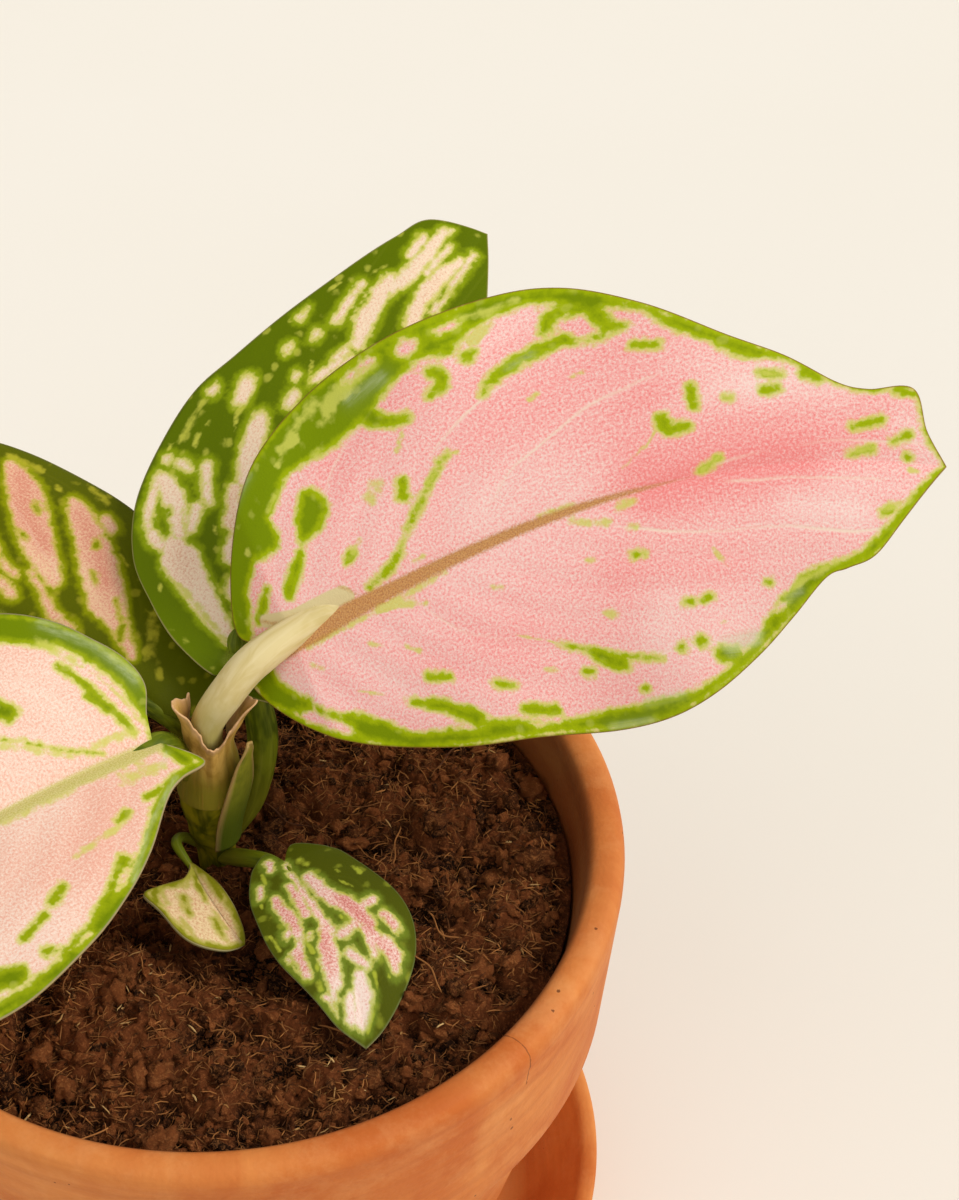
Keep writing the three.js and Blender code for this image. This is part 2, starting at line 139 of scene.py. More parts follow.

# One entry for each leaf. The midrib is a cubic curve. An edge point is a share of the midrib's
# length, below 0 on the lobes behind the petiole, and a distance from it. Marks are groups of
# strokes of green or pale skin on the ground colour, and later ones cover earlier ones. A stroke is
# a half width and its line's points, in mm along the midrib and out from it, and a point's third
# number is a half width of its own. Pale strokes grow by the leaf's spread. The soft colours are
# strokes of a reach, a strength where it isn't 1, and a line.
# The sheen strokes paint a pale grey-green highlight where the light glints off a leaf's wax, and raise its
# real gloss there.
LEAVES = {
    "leaf_right": dict(
        midrib=[(13.5, 8.5, 156), (41.5, 10.5, 171.5), (80.5, 18, 191), (117, 9, 191)],
        left=[
            (0, 0), (-0.07, 0.3), (-0.1, 3), (-0.075, 10), (-0.02, 18.5), (0.06, 27.3), (0.18, 33.8),
            (0.31, 36.8), (0.45, 37), (0.54, 34.8), (0.63, 29), (0.72, 21.5), (0.79, 16.8), (0.85, 12.2),
            (0.89, 11), (0.945, 11.4), (0.968, 5), (1, 0),
        ],
        right=[
            (0, 0), (-0.07, -0.3), (-0.115, -3.5), (-0.1, -9), (-0.04, -16.3), (0.05, -23), (0.18, -28.9),
            (0.3, -32.2), (0.42, -35.5), (0.52, -36), (0.61, -33.8), (0.7, -29.1), (0.77, -23.8),
            (0.83, -18.2), (0.865, -16.9), (0.91, -14.8), (0.95, -9), (1, 0),
        ],
        roll=(46, 44), fold=(6, 6), droop=(6, 10), reach=36, lobe_drop=28, wave=(0.9, 3, 0.2),
        petiole=[(-0.9, 3, 133), (-0.6, 2.2, 140), (3, 2.4, 147), (8, 4.8, 152.5), (13.5, 8.2, 156)],
        stalk_radii=[2.6, 2.8, 3, 3.05, 2.6], steps=(210, 112), ground="pink", spread=0, margin=0.3,
        marks=[
            # the green margins, first the upper half's
            ("green",
             (1, (-9.6, 3.5, 2.2), (-7.4, 8.5, 2.7), (-4.6, 13, 3.4), (-1, 17.2, 3.6), (5.6, 22.8, 3.8),
              (10, 26, 3.2), (15, 27.6, 4.2), (20, 28.8, 5), (26, 30.6, 4.9), (33, 33, 3.4),
              (38, 34.2, 2.9), (42, 34, 3), (46, 34.8, 2.4), (50, 35.4, 1.8), (55, 35.2, 1.3),
              (59, 33.9, 1.2), (62, 32.2, 1.8), (64, 31, 1.7), (66, 30.3, 0.8), (70, 28.2, 0.4),
              (72.6, 25.4, 0.7), (74.6, 24, 1.1), (78.6, 21.2, 0.9), (81.4, 19, 1.3), (84.5, 17.6, 0.8),
              (87.4, 16.8, 0.45), (89.4, 15.4, 0.5), (90.5, 14, 1.2), (92, 12.8, 0.7)),
             (1, (0.8, 14.8, 2.6), (3, 15, 2.7), (2.8, 17.4, 2.6)),
             (0.6, (102.4, 11), (105.4, 10.4, 0.4)),
             (1, (-9.4, -5.2, 2.6), (-8.6, -8.6, 2.6), (-5, -11.6, 1.9), (-2.6, -12.4, 1.1)),
             (1, (-8.4, -12, 0.9), (-4.6, -15.8, 0.8), (0, -19, 0.9), (3.6, -21.2, 1.1)),
             (1, (-1, -14, 0.5), (1.4, -16.4, 0.8), (4.6, -18.8, 1.9), (8, -21.6, 2.2), (12, -24.8, 1.4),
              (17, -26.4, 1.3), (22, -27.6, 1.5), (27, -28.4, 1.6), (31, -29.6, 1.4), (36, -31.6, 0.7),
              (41, -32.6, 1), (46, -33.4, 1.6), (51, -34.2, 1.7), (57, -34.4, 1.6), (63, -33.8, 0.9),
              (69, -32.2, 0.7), (74, -29.8, 0.8), (78, -27.4, 0.7), (81, -24.6, 1.2), (84.6, -22, 1.7),
              (88.6, -19, 1.6), (91, -17.6, 1.2), (96, -16.2, 0.7), (99, -15, 0.9), (102.4, -11.8, 0.9),
              (105, -8.4, 0.8), (108, -4, 0.6), (109.8, -1.4, 0.5))),
            # pale patches in the margins, and the pink that runs into them
            ("pale",
             (0.7, (-6.6, 2.6), (-4.2, 6.2)), (1.3, (-4, 7.4), (0, 11)),
             (1.3, (3, 9), (6.5, 13), (8, 17), (10.5, 20.5), (14.8, 21.8)), (1.7, (37.1, 34), (37.3, 34)),
             (0.9, (26.5, 33), (31.4, 34.2)), (0.8, (42.4, 34.4), (45, 34.6)),
             (1.1, (85.6, 15.6), (88.4, 14.6)), (1, (-4.4, -14, 0.9), (-1, -16.2, 1.2), (2.4, -18.8)),
             (0.5, (22, -26.2), (25.2, -27)), (0.5, (34, -30), (38, -30.6)),
             (0.6, (82, -22.4), (83.6, -21.8))),
            # green strokes and islands, first the upper half's
            ("green",
             (0.9, (-5, 3.4), (-3.2, 5), (-0.5, 7.5, 0.4)),
             (1, (3, 5.2, 0.9), (5, 7.2, 1.1), (8.2, 10.2, 0.7)),
             (1, (9.6, 12.6, 0.9), (12, 14.6, 2.4), (13.6, 16.6, 2.5), (13.4, 17.8, 1.6)),
             (1.2, (14, 15.4), (15, 15.4)), (0.8, (15.6, 6.2), (16.8, 7, 0.6)),
             (1, (17, 0.9, 0.35), (20.5, 1.7, 0.5), (22.6, 2.6, 0.6), (24.6, 4.4, 0.45), (26, 5.8, 0.1)),
             (1, (27.2, 6.8, 0.5), (29, 8.2, 0.4), (31.2, 10.4, 0.55), (32.7, 11.3, 0.4), (35, 13.7, 0.4),
              (37.4, 15.6, 0.4)),
             (1, (28.5, 12.2), (29.4, 14, 0.9)),
             (1, (27, 27.6, 1.6), (28.6, 25.4, 1.5), (31, 23.8, 0.9), (33.4, 23.4, 0.9)),
             (1, (39.4, 28.8, 0.8), (40.8, 27.2), (39.8, 25.8), (38.2, 25.3, 0.6)),
             (0.9, (45, 28.8), (45.6, 29.2)), (1.1, (42.5, 31.3), (42.9, 31.3)),
             (1, (45.6, 22.4, 0.5), (47, 23.7, 0.7), (49.4, 24.8), (52, 25.5), (54.6, 26.1, 1.1),
              (58.9, 26.5, 0.9), (59.6, 25.5, 0.4), (64, 25.1, 0.45)),
             (1, (56.5, 29, 0.9), (57.4, 30.6), (60, 31, 0.9), (63.1, 30.4, 1.2), (64.1, 28.5, 1.1),
              (64.8, 26.6, 1.1), (67, 26.1, 0.6)),
             (0.6, (67.6, 22.6), (71, 21.8)),
             (1, (69.3, 10.2, 0.9), (69.4, 9.4, 1.1), (70, 8.2, 0.9), (72.9, 8.2, 0.6)),
             (0.7, (74.2, 11.2), (74.2, 13.8)), (0.4, (78.8, 11.4), (79.4, 11.4)),
             (0.5, (84, 14.5), (86.6, 13.8)), (0.6, (84.2, 11.9), (86, 11.7)),
             (0.4, (73.5, 0.9), (76.5, 2.3)), (0.5, (96.6, 5.1), (100.6, 6.3)),
             (0.5, (102.6, 3), (104.6, 4.2)), (0.5, (96.6, 1), (99.6, 1.8)),
             (0.5, (104.8, 0.8), (105.2, 0.8)),
             (1, (15.2, -18.8, 0.5), (17.6, -20.2, 0.7), (20, -21.2, 1.1), (22, -23, 1.1),
              (25, -25.6, 1.5)),
             (0.6, (20.2, -16.2), (23.6, -17.8)), (0.55, (30.6, -21.4), (33.2, -22.9)),
             (0.9, (33.6, -27.2), (38, -29)),
             (1, (43.5, -19.2, 0.2), (47.4, -21.6, 0.3), (48.4, -22.6), (50.4, -24, 1.3),
              (52.6, -25.6, 1.2)),
             (0.35, (53.4, -24.4), (55, -25), (59.4, -26.3, 0.4)), (0.6, (46, -25), (46.8, -25)),
             (0.6, (60.4, -9.6), (61.4, -9.7)), (0.45, (66.3, -18.9), (67.4, -19)),
             (0.5, (69.6, -18.9), (71, -18.9)), (0.4, (81, -18.2), (81.8, -18.2)),
             (0.7, (102, -8), (103, -7.6)), (0.6, (63.5, -25.6), (63.9, -25.6)),
             (0.9, (67.2, -25.3), (67.6, -25.3)), (1.2, (70.3, -27.9), (73, -28.6)),
             (0.6, (54.6, -30.3), (55, -30.3))),
        ],
        coral=[
            (5, 0.9, (66, -1), (78, -1), (88, -1)), (6, 0.5, (64, 3), (80, 5), (96, 5)),
            (8, 0.35, (46, 17), (66, 21)), (5, 0.35, (20, 21), (26, 23)), (4, 0.4, (33, 27), (37, 28)),
            (5, 0.3, (24, -14), (36, -17)), (5, 0.35, (58, -13), (76, -15)), (4, 0.3, (64, 8), (68, 14)),
            (5, 0.25, (42, -8), (56, -12)),
        ],
        cream=[
            (3, 0.5, (-5, -7), (-3, -11)), (6, 0.3, (64, -24), (76, -24)), (6, 0.35, (40, 5), (50, 7)),
            (4, 0.5, (84, 14), (94, 11)), (3, 0.6, (87, -6), (97, -8)), (4, 0.25, (42, -4), (52, -7)),
            (4, 0.3, (60, -30), (70, -30)), (2, 0.4, (104, 6), (108, 2)), (3, 0.4, (78, 14), (84, 12)),
            (3, 0.3, (60, -22), (64, -18)),
        ],
        lime=[
            (1.3, (12, 27), (20, 32)), (0.9, (46, 35), (54, 35)), (1, (84, -20), (94, -16)),
            (1, (-7.8, 3.6), (-6.6, 4.4)), (1, (-1.6, 14.2), (-1.2, 14.4)), (0.8, (5.6, 19), (8, 20.6)),
            (0.8, (10.6, 25), (11, 25.2)), (0.9, (14.4, 27.2), (15, 27.4)),
            (1.2, (17.2, 24), (18.2, 24.6)), (1.5, (20.6, 28), (22, 29.6)), (1.6, (23, 31), (25, 31.6)),
            (1.6, (26, 32), (31, 33.8)), (2, (23.4, 14.2), (25, 15.4)), (0.7, (17, 7), (19, 8.6)),
            (0.5, (24.6, 4.4), (27, 6.8)), (0.5, (31, 10.4), (37.4, 15.6), (39.4, 15)),
            (0.7, (33, 22.4), (30.4, 19)), (1, (45.4, 30), (47.6, 32)), (1.2, (47, 31.6), (50, 33)),
            (0.8, (56.4, 28), (57, 28.4)), (0.9, (62.4, 24.4), (63.4, 24.4)),
            (0.8, (52, 19), (53.2, 19.4)), (0.7, (58.4, 20.4), (60, 20.6)),
            (0.5, (62.2, 4.2), (66.5, 6.8), (68.4, 8.8)), (0.9, (47.6, 1), (52.6, 1)),
            (0.8, (26, 1.6), (28, 1.8)), (0.8, (17.6, -3.3), (21, -3.9), (25, -5.2)),
            (0.8, (1.4, -6.6), (3.2, -8.2)), (0.5, (7.8, -14), (11.8, -16.2)),
            (0.8, (19, -10.6), (21, -12)), (0.7, (13, -7.6), (15, -8.6)), (1, (52, -1.4), (57.4, -3.6)),
            (1.4, (59.6, -1.6), (61.6, -1.6)), (1.1, (60.4, -5.2), (61.4, -5.4)),
            (0.8, (52.6, -8.2), (53.6, -8.4)), (1.2, (53.2, -17), (54.2, -17.8)),
            (0.8, (36.6, -7), (37.8, -7.6)), (0.9, (39.8, -22.4), (41, -22.8)),
            (0.4, (37, -15.4), (43.6, -19.2)), (0.6, (73, -11.6), (75, -14.7)),
            (0.5, (71.6, -23.2), (72.2, -23.2)), (0.9, (79, 11.4), (79.8, 11.6)),
            (0.6, (83.8, 14.6), (86.6, 13.8)), (1, (101.8, -7.6), (106, -6)),
            (0.6, (105.4, -1.2), (106.8, -1.6)), (0.6, (73.5, 0.9), (76.5, 2.3)),
            (0.7, (96, 1), (100.4, 2)), (0.9, (2, -4), (16, -3.3), (30, -2)),
        ],
        # painted highlights: where the light glints off the wax
        bloom=[
            (1.8, (26, 30), (32, 31)), (1.6, (71, -26), (78, -25.6)), (1.4, (54, -32.4), (61, -32.6)),
            (1.3, (72, -28), (77, -27)), (1.2, (84, -21.4), (87, -20)), (1, (46, -34.6), (54, -35.6)),
            (0.9, (-6, 16), (0, 22), (5, 25.6)), (0.8, (50, 25), (54, 25.8)),
        ],
        nerve=[
            (2.4, 0.9, (38, 16), (42.7, 20), (47, 22.6)),
            (2.4, 0.8, (44.6, 6), (50.8, 11.6), (59.3, 16), (67.4, 18)),
            (2.6, 1, (61.9, -6.3), (67.7, -9.5), (76.6, -12), (85, -12), (93.5, -11.2), (100.8, -9.8)),
            (1.6, 0.7, (78.7, -1.4), (85, -3.3), (99.8, -3.8)),
            (1.6, 0.6, (76.6, 1.7), (84, 4.9), (91.9, 8.3)),
            (1.6, 0.7, (90, 0.9), (101.9, 3.1), (106, 3.8)), (2.2, 0.6, (59, -26), (70, -27)),
            (2, 0.5, (25, -8.5), (36, -13.3)), (2, 0.6, (8, 12), (13, 17), (20, 22.6), (28, 28)),
        ],
        rib=[
            (1, (-8, -3.6, 0.8), (-3, -3.2, 1.4), (5, -2.3, 1.9), (12, -1.5, 1.9), (20, -1.1, 1.6),
             (32, -0.5, 1.4), (44, 0, 1.2), (54, 0.2, 1), (64, 0.2, 0.6), (76, 0.2, -0.2)),
            (0.4, (-5, 3.2), (-3, 2.2), (0, 0.9), (4, 0.3)), (0.35, (12, 3), (13.4, 2), (14.4, 0.6)),
        ],
        ivory=[(1.3, (-4, 2.8), (2, 1.6), (10, 1.9), (12.4, 1.8)), (0.9, (6, 0.8), (13, 0.8))],
    ),
    "leaf_back": dict(
        midrib=[(2.5, 10, 146.5), (10.5, 29.5, 154), (31.5, 60.5, 177), (46, 81, 181.5)],
        left=[
            (0, 0), (-0.04, 1.5), (0, 9), (0.07, 16.3), (0.14, 22.5), (0.24, 27), (0.36, 29),
            (0.46, 28.5), (0.55, 25), (0.66, 21.3), (0.77, 17), (0.88, 12.8), (0.955, 9.7), (1, 0),
        ],
        right=[
            (0, 0), (-0.05, -2), (-0.05, -9), (0.01, -17), (0.1, -23), (0.22, -27), (0.36, -28),
            (0.5, -25.5), (0.62, -20.5), (0.7, -16), (0.78, -11.5), (0.86, -7.5), (0.94, -3.4), (1, 0),
        ],
        roll=(8, 8), fold=(8, -6), droop=(6, 6), reach=32, lobe_drop=10, wave=(0.8, 3, 0.6),
        petiole=[(0.5, 6, 107), (5.4, 8.4, 116), (7.4, 11.2, 127), (6, 13, 138), (2.5, 10.5, 146)],
        stalk_radii=[1.6, 2.4, 2.7, 2.5, 1.9], steps=(170, 90), ground="green", spread=0.4, margin=1.6,
        marks=[
            ("pale",
             (1.2, (5, 1), (9, 6.5, 2.1), (12.3, 10.6, 2.5), (15.5, 14.8, 3.1), (17.3, 17, 1.8)),
             (1, (19.5, 17), (22, 18.5, 1.3), (25, 21.5, 1.8), (27.3, 25, 1)),
             (0.8, (21.3, 16), (24.7, 16.7)), (0.9, (16.6, 19), (17.2, 20.8), (18.2, 22, 0.6)),
             (0.8, (18.7, 22.6), (22.7, 24.7), (27.3, 26.3, 0.7)), (0.6, (30.2, 26.3), (30.6, 26.3)),
             (0.6, (30.7, 24), (30.5, 21.6)), (0.7, (26.7, 15.3), (29.3, 17.7), (31.7, 19, 0.9)),
             (1.3, (32.5, 11.8), (36, 13.3, 1.5), (40, 14.3, 1.7), (42.3, 15, 1)),
             (1, (24.7, 10), (27.3, 11), (30, 12.3)), (1.1, (43.7, 19.8), (46.3, 20.3, 1.3)),
             (0.7, (43.1, 25.3), (43.6, 25.3)), (0.9, (46.4, 11.6), (47.6, 11.8)),
             (0.4, (50.5, 13.3), (50.9, 13.3)), (0.5, (53.8, 17.3), (54.4, 17.3)),
             (0.6, (59.8, 18.7), (61, 18.8)), (0.5, (57.6, 14.3), (58.4, 14.3)),
             (0.7, (62, 12.7), (69.3, 12.7, 0.5)),
             (1, (60, 7), (64.7, 8.6, 1.9), (68, 8.9, 1.7), (72, 8.7, 1.1)),
             (1, (71, 7.4), (74, 6.6, 1.3), (78.7, 6.1, 1.3), (87.3, 6.2, 0.7)),
             (0.7, (78.3, 8.3), (82.3, 8.4)),
             (1.2, (67.3, 1), (71, 2), (74, 2, 1.5), (78, 1.6, 1.3), (82, 0.5, 0.7)),
             (0.5, (76.7, 4), (83.3, 3.7)), (0.5, (71.3, -0.9), (84.7, -0.7)),
             (0.9, (62, -0.4), (66, -0.8)), (0.5, (56, 9), (58, 8)), (0.6, (51.3, 10), (56, 8)),
             (1.6, (20, 7), (30, 9), (38, 10)), (1.6, (40, 5), (50, 7), (56, 6)),
             (1.4, (14, 4), (24, 5), (34, 5)), (1.8, (10, -7), (16, -14), (24, -20)),
             (1.6, (20, -5), (28, -11), (38, -17)), (1.8, (34, -4), (44, -9), (54, -13)),
             (1.4, (46, -3), (56, -6), (66, -8)), (1.2, (28, -17), (36, -21))),
            ("green",
             (0.5, (19.4, 21.4), (20.6, 22.4)), (0.4, (22, 20.6), (22.6, 21.4)),
             (0.45, (73.6, 4.4), (66, 4.1, 0.7)), (0.35, (64, 10.6), (68, 10.4)),
             (0.4, (73.4, -0.6), (76.4, -0.2))),
        ],
        coral=[
            (2.4, 0.4, (13, 13), (17, 16)), (1.6, 0.6, (24, 10), (30, 12.6)), (2, 0.3, (66, 1.6), (76, 2)),
        ],
        cream=[(30, 0.4, (0, 0), (90, 0))],
        lime=[
            (1.2, (4, 1), (8, 7), (11, 13)), (0.8, (20, 16), (24, 19)), (1, (34, 26), (41, 26)),
            (0.8, (13, 6), (14, 7)), (0.6, (22, 11.3), (23, 12)), (0.7, (54, 17.3), (54.4, 17.4)),
            (0.8, (59, 18.6), (61.6, 18.8)), (0.5, (58.2, 20), (58.6, 20)), (0.7, (34, 23), (36, 23.6)),
            (0.6, (9, 15.6), (10, 16)), (0.6, (47, 22), (48, 21.6)), (0.6, (42, 19), (43, 18.6)),
            (0.7, (39, 18), (41, 19)), (0.6, (50, 10.4), (54, 12.4)), (0.5, (66, 17), (68, 16)),
            (0.6, (72, 12), (74, 11)), (0.6, (38, 23), (38.6, 23)), (0.5, (32, 27), (33, 27.4)),
        ],
        nerve=[(9, 0.25, (70, 4), (88, 4)), (2, 0.3, (30, 20), (38, 24), (46, 24))],
        rib=[(1, (0, 0, 1.2), (30, 0, 0.8), (60, 0, 0.4), (86, 0, -0.2))],
    ),
    "leaf_back_left": dict(
        midrib=[(-10.5, 6.5, 139.5), (-34, 20, 150), (-66, 36, 155), (-100, 50, 149)],
        left=[
            (0, 0), (0.01, 1), (0.03, 4), (0.07, 10), (0.13, 17), (0.23, 24), (0.36, 27.5), (0.5, 26),
            (0.64, 21), (0.77, 14.5), (0.88, 8), (0.95, 4), (1, 0),
        ],
        right=[
            (0, 0), (-0.07, -2.5), (-0.09, -9), (-0.02, -18), (0.08, -24.7), (0.2, -28.4), (0.33, -30.6),
            (0.47, -31.8), (0.6, -28), (0.75, -19), (0.87, -10.5), (0.95, -5), (1, 0),
        ],
        roll=(-10, -6), fold=(10, 10), droop=(7, 7), reach=32, lobe_drop=10, wave=(0.8, 3, 0.1),
        petiole=[(-2.4, 6, 127), (-5.6, 7, 133.5), (-8.2, 7, 137), (-10.5, 6.7, 139.5)],
        stalk_radii=[1.8, 1.8, 1.7, 1.5], steps=(170, 90), ground="green", spread=0.3, margin=1.4,
        marks=[
            ("pale",
             (0.8, (9, -5.5), (14, -8.5, 1.5), (18.5, -11, 3.2), (24, -16, 3.3), (29, -20.5, 2.5),
              (33.5, -24, 1.8), (35.4, -25.6, 0.8)),
             (1.5, (29, -9.6), (35, -14, 2.7), (39, -18, 3), (43, -22.5, 3), (47, -26, 1.9),
              (49, -27.4, 0.8)),
             (0.5, (20.7, -3.9), (25, -3.9, 0.9), (29.6, -7), (33, -8.8, 0.5)),
             (0.9, (33.5, -3.7), (36, -4.6)), (0.6, (35, -7), (38.5, -8)),
             (1.1, (26.6, -23.6), (28.2, -24.8)), (0.8, (40, -9), (44, -12)),
             (2, (46, -8), (53, -14), (60, -21)), (1.8, (56, -6), (66, -11), (74, -16)),
             (2.2, (10, 4), (16, 9), (24, 15), (32, 20)), (2.2, (22, 3), (30, 9), (40, 15), (48, 19)),
             (2, (38, 3), (48, 8), (58, 13)), (1.6, (54, 3), (64, 7), (74, 10)),
             (1.2, (72, 2), (82, 4), (90, 4)), (1, (74, -4), (84, -6))),
            ("green",
             (0.5, (12.6, -6.4), (13.6, -9)), (0.15, (14.4, -9.6), (17.6, -12)),
             (0.2, (22.3, -13), (24.2, -14.4)), (0.5, (26.6, -19.2), (27, -19.6)),
             (0.7, (24, -10), (28, -13.6, 0.9), (31.6, -16.8, 0.9), (33.6, -18.4, 0.5)),
             (0.8, (34, -19.6), (36, -21.6, 1), (38.4, -23.8, 0.7)), (0.3, (37.7, -14.2), (38.4, -14.4)),
             (0.35, (39, -20), (40.6, -21.6))),
        ],
        coral=[
            (1.6, 0.8, (21, -14), (26, -19), (33, -23.4)), (2, 0.8, (34, -14.6), (41, -19), (46, -26)),
            (2.4, 0.3, (14, -7), (20, -11)),
        ],
        cream=[
            (2, 0.5, (16, -8), (26, -13)), (2, 0.5, (30, -10), (38, -13)), (2, 0.3, (32, -19), (36, -23)),
        ],
        lime=[
            (1.7, (6.6, -7.6), (8.6, -11), (10.6, -14)), (1, (2, -5), (3, -6)),
            (1, (30, -28.4), (35, -30)), (1.4, (44, -29), (50, -29)), (0.8, (38.4, -26.4), (40, -27)),
            (0.6, (20, -19), (22, -20)),
        ],
        nerve=[(99, 0.12, (0, 0), (101, 0))],
        rib=[(1, (0, 0, 1.2), (30, 0, 0.8), (60, 0, 0.4), (95, 0, -0.2))],
    ),
    "leaf_front_left": dict(
        midrib=[(-9, -4, 142), (-37, -21, 143), (-68, -40, 136), (-96, -56, 118)],
        left=[
            (0, 0), (-0.02, 1.5), (-0.06, 7), (-0.01, 8.5), (0.03, 11), (0.1, 18.5), (0.17, 24),
            (0.26, 29), (0.38, 32.5), (0.5, 31.5), (0.64, 26), (0.78, 17), (0.9, 8), (1, 0),
        ],
        right=[
            (0, 0), (-0.01, -4.5), (-0.03, -9.5), (-0.02, -14.5), (0.015, -20), (0.06, -26), (0.13, -31),
            (0.24, -34), (0.38, -34), (0.52, -31), (0.66, -25), (0.8, -16), (0.91, -8), (1, 0),
        ],
        roll=(-22, -14), fold=(20, 14), droop=(5, 8), reach=34, lobe_drop=10, wave=(0.8, 3, 0.4),
        petiole=[(-3.6, 2.4, 128), (-6.2, 0.2, 135), (-8.2, -2.4, 139.6), (-10.5, -4.9, 142)],
        stalk_radii=[2.4, 2.5, 2.4, 1.9], sunk=1.3, steps=(190, 100), ground="pink", spread=0, margin=1.1,
        marks=[
            ("green",
             (0.9, (-4, 7.4), (1, 8.3, 0.8), (6, 12.2, 0.8), (12, 19, 0.9), (18, 24.2, 1)),
             (1.7, (19, 24.4), (25, 27.2), (31, 29.4)),
             (1, (15.4, 18), (18, 20.4, 0.8), (21, 23.4), (24, 25.4, 1.2)),
             (1.3, (31, 30), (40, 31.6), (50, 31)), (1.7, (39.6, 27.8), (42.4, 27.2)),
             (0.8, (33.4, 26.9), (34, 26.8)), (0.6, (31.4, 21), (33.6, 22), (36, 22.8)),
             (0.7, (26.4, 17.8), (29, 19.6, 0.8)), (0.6, (10.8, 10.6), (12.8, 11.4)),
             (0.5, (3.6, 9), (6.4, 9.6)), (1.4, (-3.4, 5.4), (-1.8, 2), (-1.4, -1.6), (-1.8, -5)),
             (2.4, (-1.6, -6), (-0.4, -11), (2.6, -17)), (2.6, (3, -18), (7, -23), (12, -27)),
             (2.8, (12, -27), (20, -31.6), (30, -33)), (1.6, (30, -33), (44, -32), (58, -28)),
             (1.8, (58, -28), (72, -20), (86, -11)), (1.6, (50, 31), (62, 26.6), (74, 19), (88, 9)),
             (0.6, (2.4, -3), (4.4, -8), (6.4, -13), (9, -18)), (1, (4.6, -8), (6.4, -11)),
             (1.6, (20, -14), (22, -16)), (0.1, (9, -1.6), (15.8, -5), (19.7, -8.3), (23.6, -10.6)),
             (1, (34, -24), (40, -27)), (0.8, (46, -20), (52, -23)), (0.9, (30, -16), (34, -19)),
             (0.8, (52, 18), (58, 21)), (0.9, (62, 12), (68, 14)), (0.8, (60, -12), (66, -14)),
             (0.8, (44, 12), (50, 15)), (0.7, (76, 6), (81, 7)), (0.8, (78, -6), (84, -7))),
            ("pale",
             (0.5, (16.2, 20), (19, 22.6)), (0.5, (27, 27.6), (29.4, 28.2)),
             (0.8, (0.5, -5, 0.5), (2, -11), (4.4, -15.4, 0.9), (8, -20.6))),
        ],
        coral=[(6, 0.5, (14, 10), (26, 16)), (4, 0.3, (4, 5), (12, 6)), (12, 0.3, (60, 4), (90, 0))],
        cream=[
            (8, 0.4, (14, -8), (24, -6)), (7, 0.5, (30, 22), (40, 24)), (5, 0.3, (8, -18), (16, -20)),
            (5, 0.3, (18, 4), (30, 4)), (8, 0.3, (44, 0), (60, 0)),
        ],
        lime=[
            (1.8, (3, 1.4), (14, 1.6), (30, 1.8), (50, 1)), (1.6, (1, 5), (8, 5)),
            (1.2, (2, -3), (10, -3)), (1.6, (6, -18), (10, -23)), (1, (14, -3), (24, -10)),
            (1, (12, 12), (22, 14)),
        ],
        # painted highlights: where the light glints off the wax
        bloom=[
            (1.6, (-2, -11), (2, -19), (8, -26)), (1, (-1, 3), (1, 5)), (0.8, (0, 8), (8, 14), (16, 22)),
        ],
        nerve=[(99, 0.15, (0, 0), (100, 0))],
        rib=[(1, (0, 0.8, 1.7), (10, 0.9, 1.8), (30, 0.9, 1.5), (60, 0.4, 0.8), (95, 0, -0.2))],
    ),
    "leaf_small": dict(
        midrib=[(11.5, -6.5, 115), (15, -14, 113), (24, -20.5, 114.5), (26, -39, 106)],
        left=[
            (0, 0), (-0.1, 2.2), (-0.05, 5.9), (0.04, 9.2), (0.2, 11.5), (0.34, 12.9), (0.5, 14),
            (0.62, 13.6), (0.74, 11.4), (0.85, 7.8), (0.95, 3.4), (1, 0),
        ],
        right=[
            (0, 0), (-0.09, -2.4), (-0.04, -5), (0.06, -7.3), (0.16, -8.9), (0.3, -10), (0.44, -10.6),
            (0.58, -10.3), (0.7, -9.1), (0.82, -7), (0.93, -4.2), (1, 0),
        ],
        roll=(0, 0), fold=(5, 5), droop=(3, 3), reach=13, lobe_drop=3, wave=(0.3, 2, 0.3),
        petiole=[(-0.5, 3, 105.5), (4, -1, 109.5), (8, -4.6, 113), (11.5, -6.5, 115)],
        stalk_radii=[1.5, 1.6, 1.4, 0.9], steps=(110, 64), ground="green", spread=0.3, margin=0.9,
        marks=[
            ("pale",
             (1, (6.6, 2), (9, 2.3, 1.3), (12, 2.5, 1.3), (14.8, 3.7, 1.6), (18, 5.2, 1.8),
              (22, 6.4, 1.1)),
             (0.9, (18, 6.5), (17.7, 9.1, 0.8)), (1, (20.9, 9.5, 0.8), (23, 10)),
             (1, (22.6, 5.4), (25.2, 7, 1.4), (27.2, 8, 1.2), (28.9, 7.2, 0.7)),
             (0.7, (21.9, 5.2), (26.2, 4.9)), (0.9, (20.6, 4), (21.4, 1.3, 1)),
             (0.9, (24.8, 1), (27.5, 2.8, 0.8)), (1, (28.8, 1.2), (31.6, 0.6, 1.7), (34.2, -0.2, 1.2)),
             (1, (31.3, -1.3), (33.8, -1.8)),
             (0.4, (1, -0.3), (7, -0.2, 0.6), (14, -0.5, 0.8), (20, -0.4, 0.9)),
             (0.6, (6.5, -1.5), (11, -1.8, 1.1), (14.5, -2.3, 0.9)),
             (1, (19.5, -1), (22.5, -2.1, 1.5), (25.8, -2.8, 1.6), (29, -3.2, 1.1), (30.4, -3.6, 0.8)),
             (0.7, (8, -5), (10.5, -5.3, 1), (13.5, -4.9, 1.2), (16.5, -5.2, 1), (19, -5.6, 0.6),
              (21, -6.6, 0.6)),
             (0.7, (16.4, -6.6), (17.2, -7.1)), (1, (21.3, -7.1), (26, -7, 0.8)),
             (0.5, (22, -9), (24.2, -9)), (0.5, (3.9, -5.9), (6, -7)), (0.6, (-1, -2.7), (1, -2.9)),
             (0.8, (31, -5.2), (33, -4.8)), (0.4, (18.8, -3.6), (19.8, -4.1))),
            ("green", (0.4, (22.6, 7.6), (23.4, 8)), (0.35, (29.6, -1.6), (30.8, -2.7))),
        ],
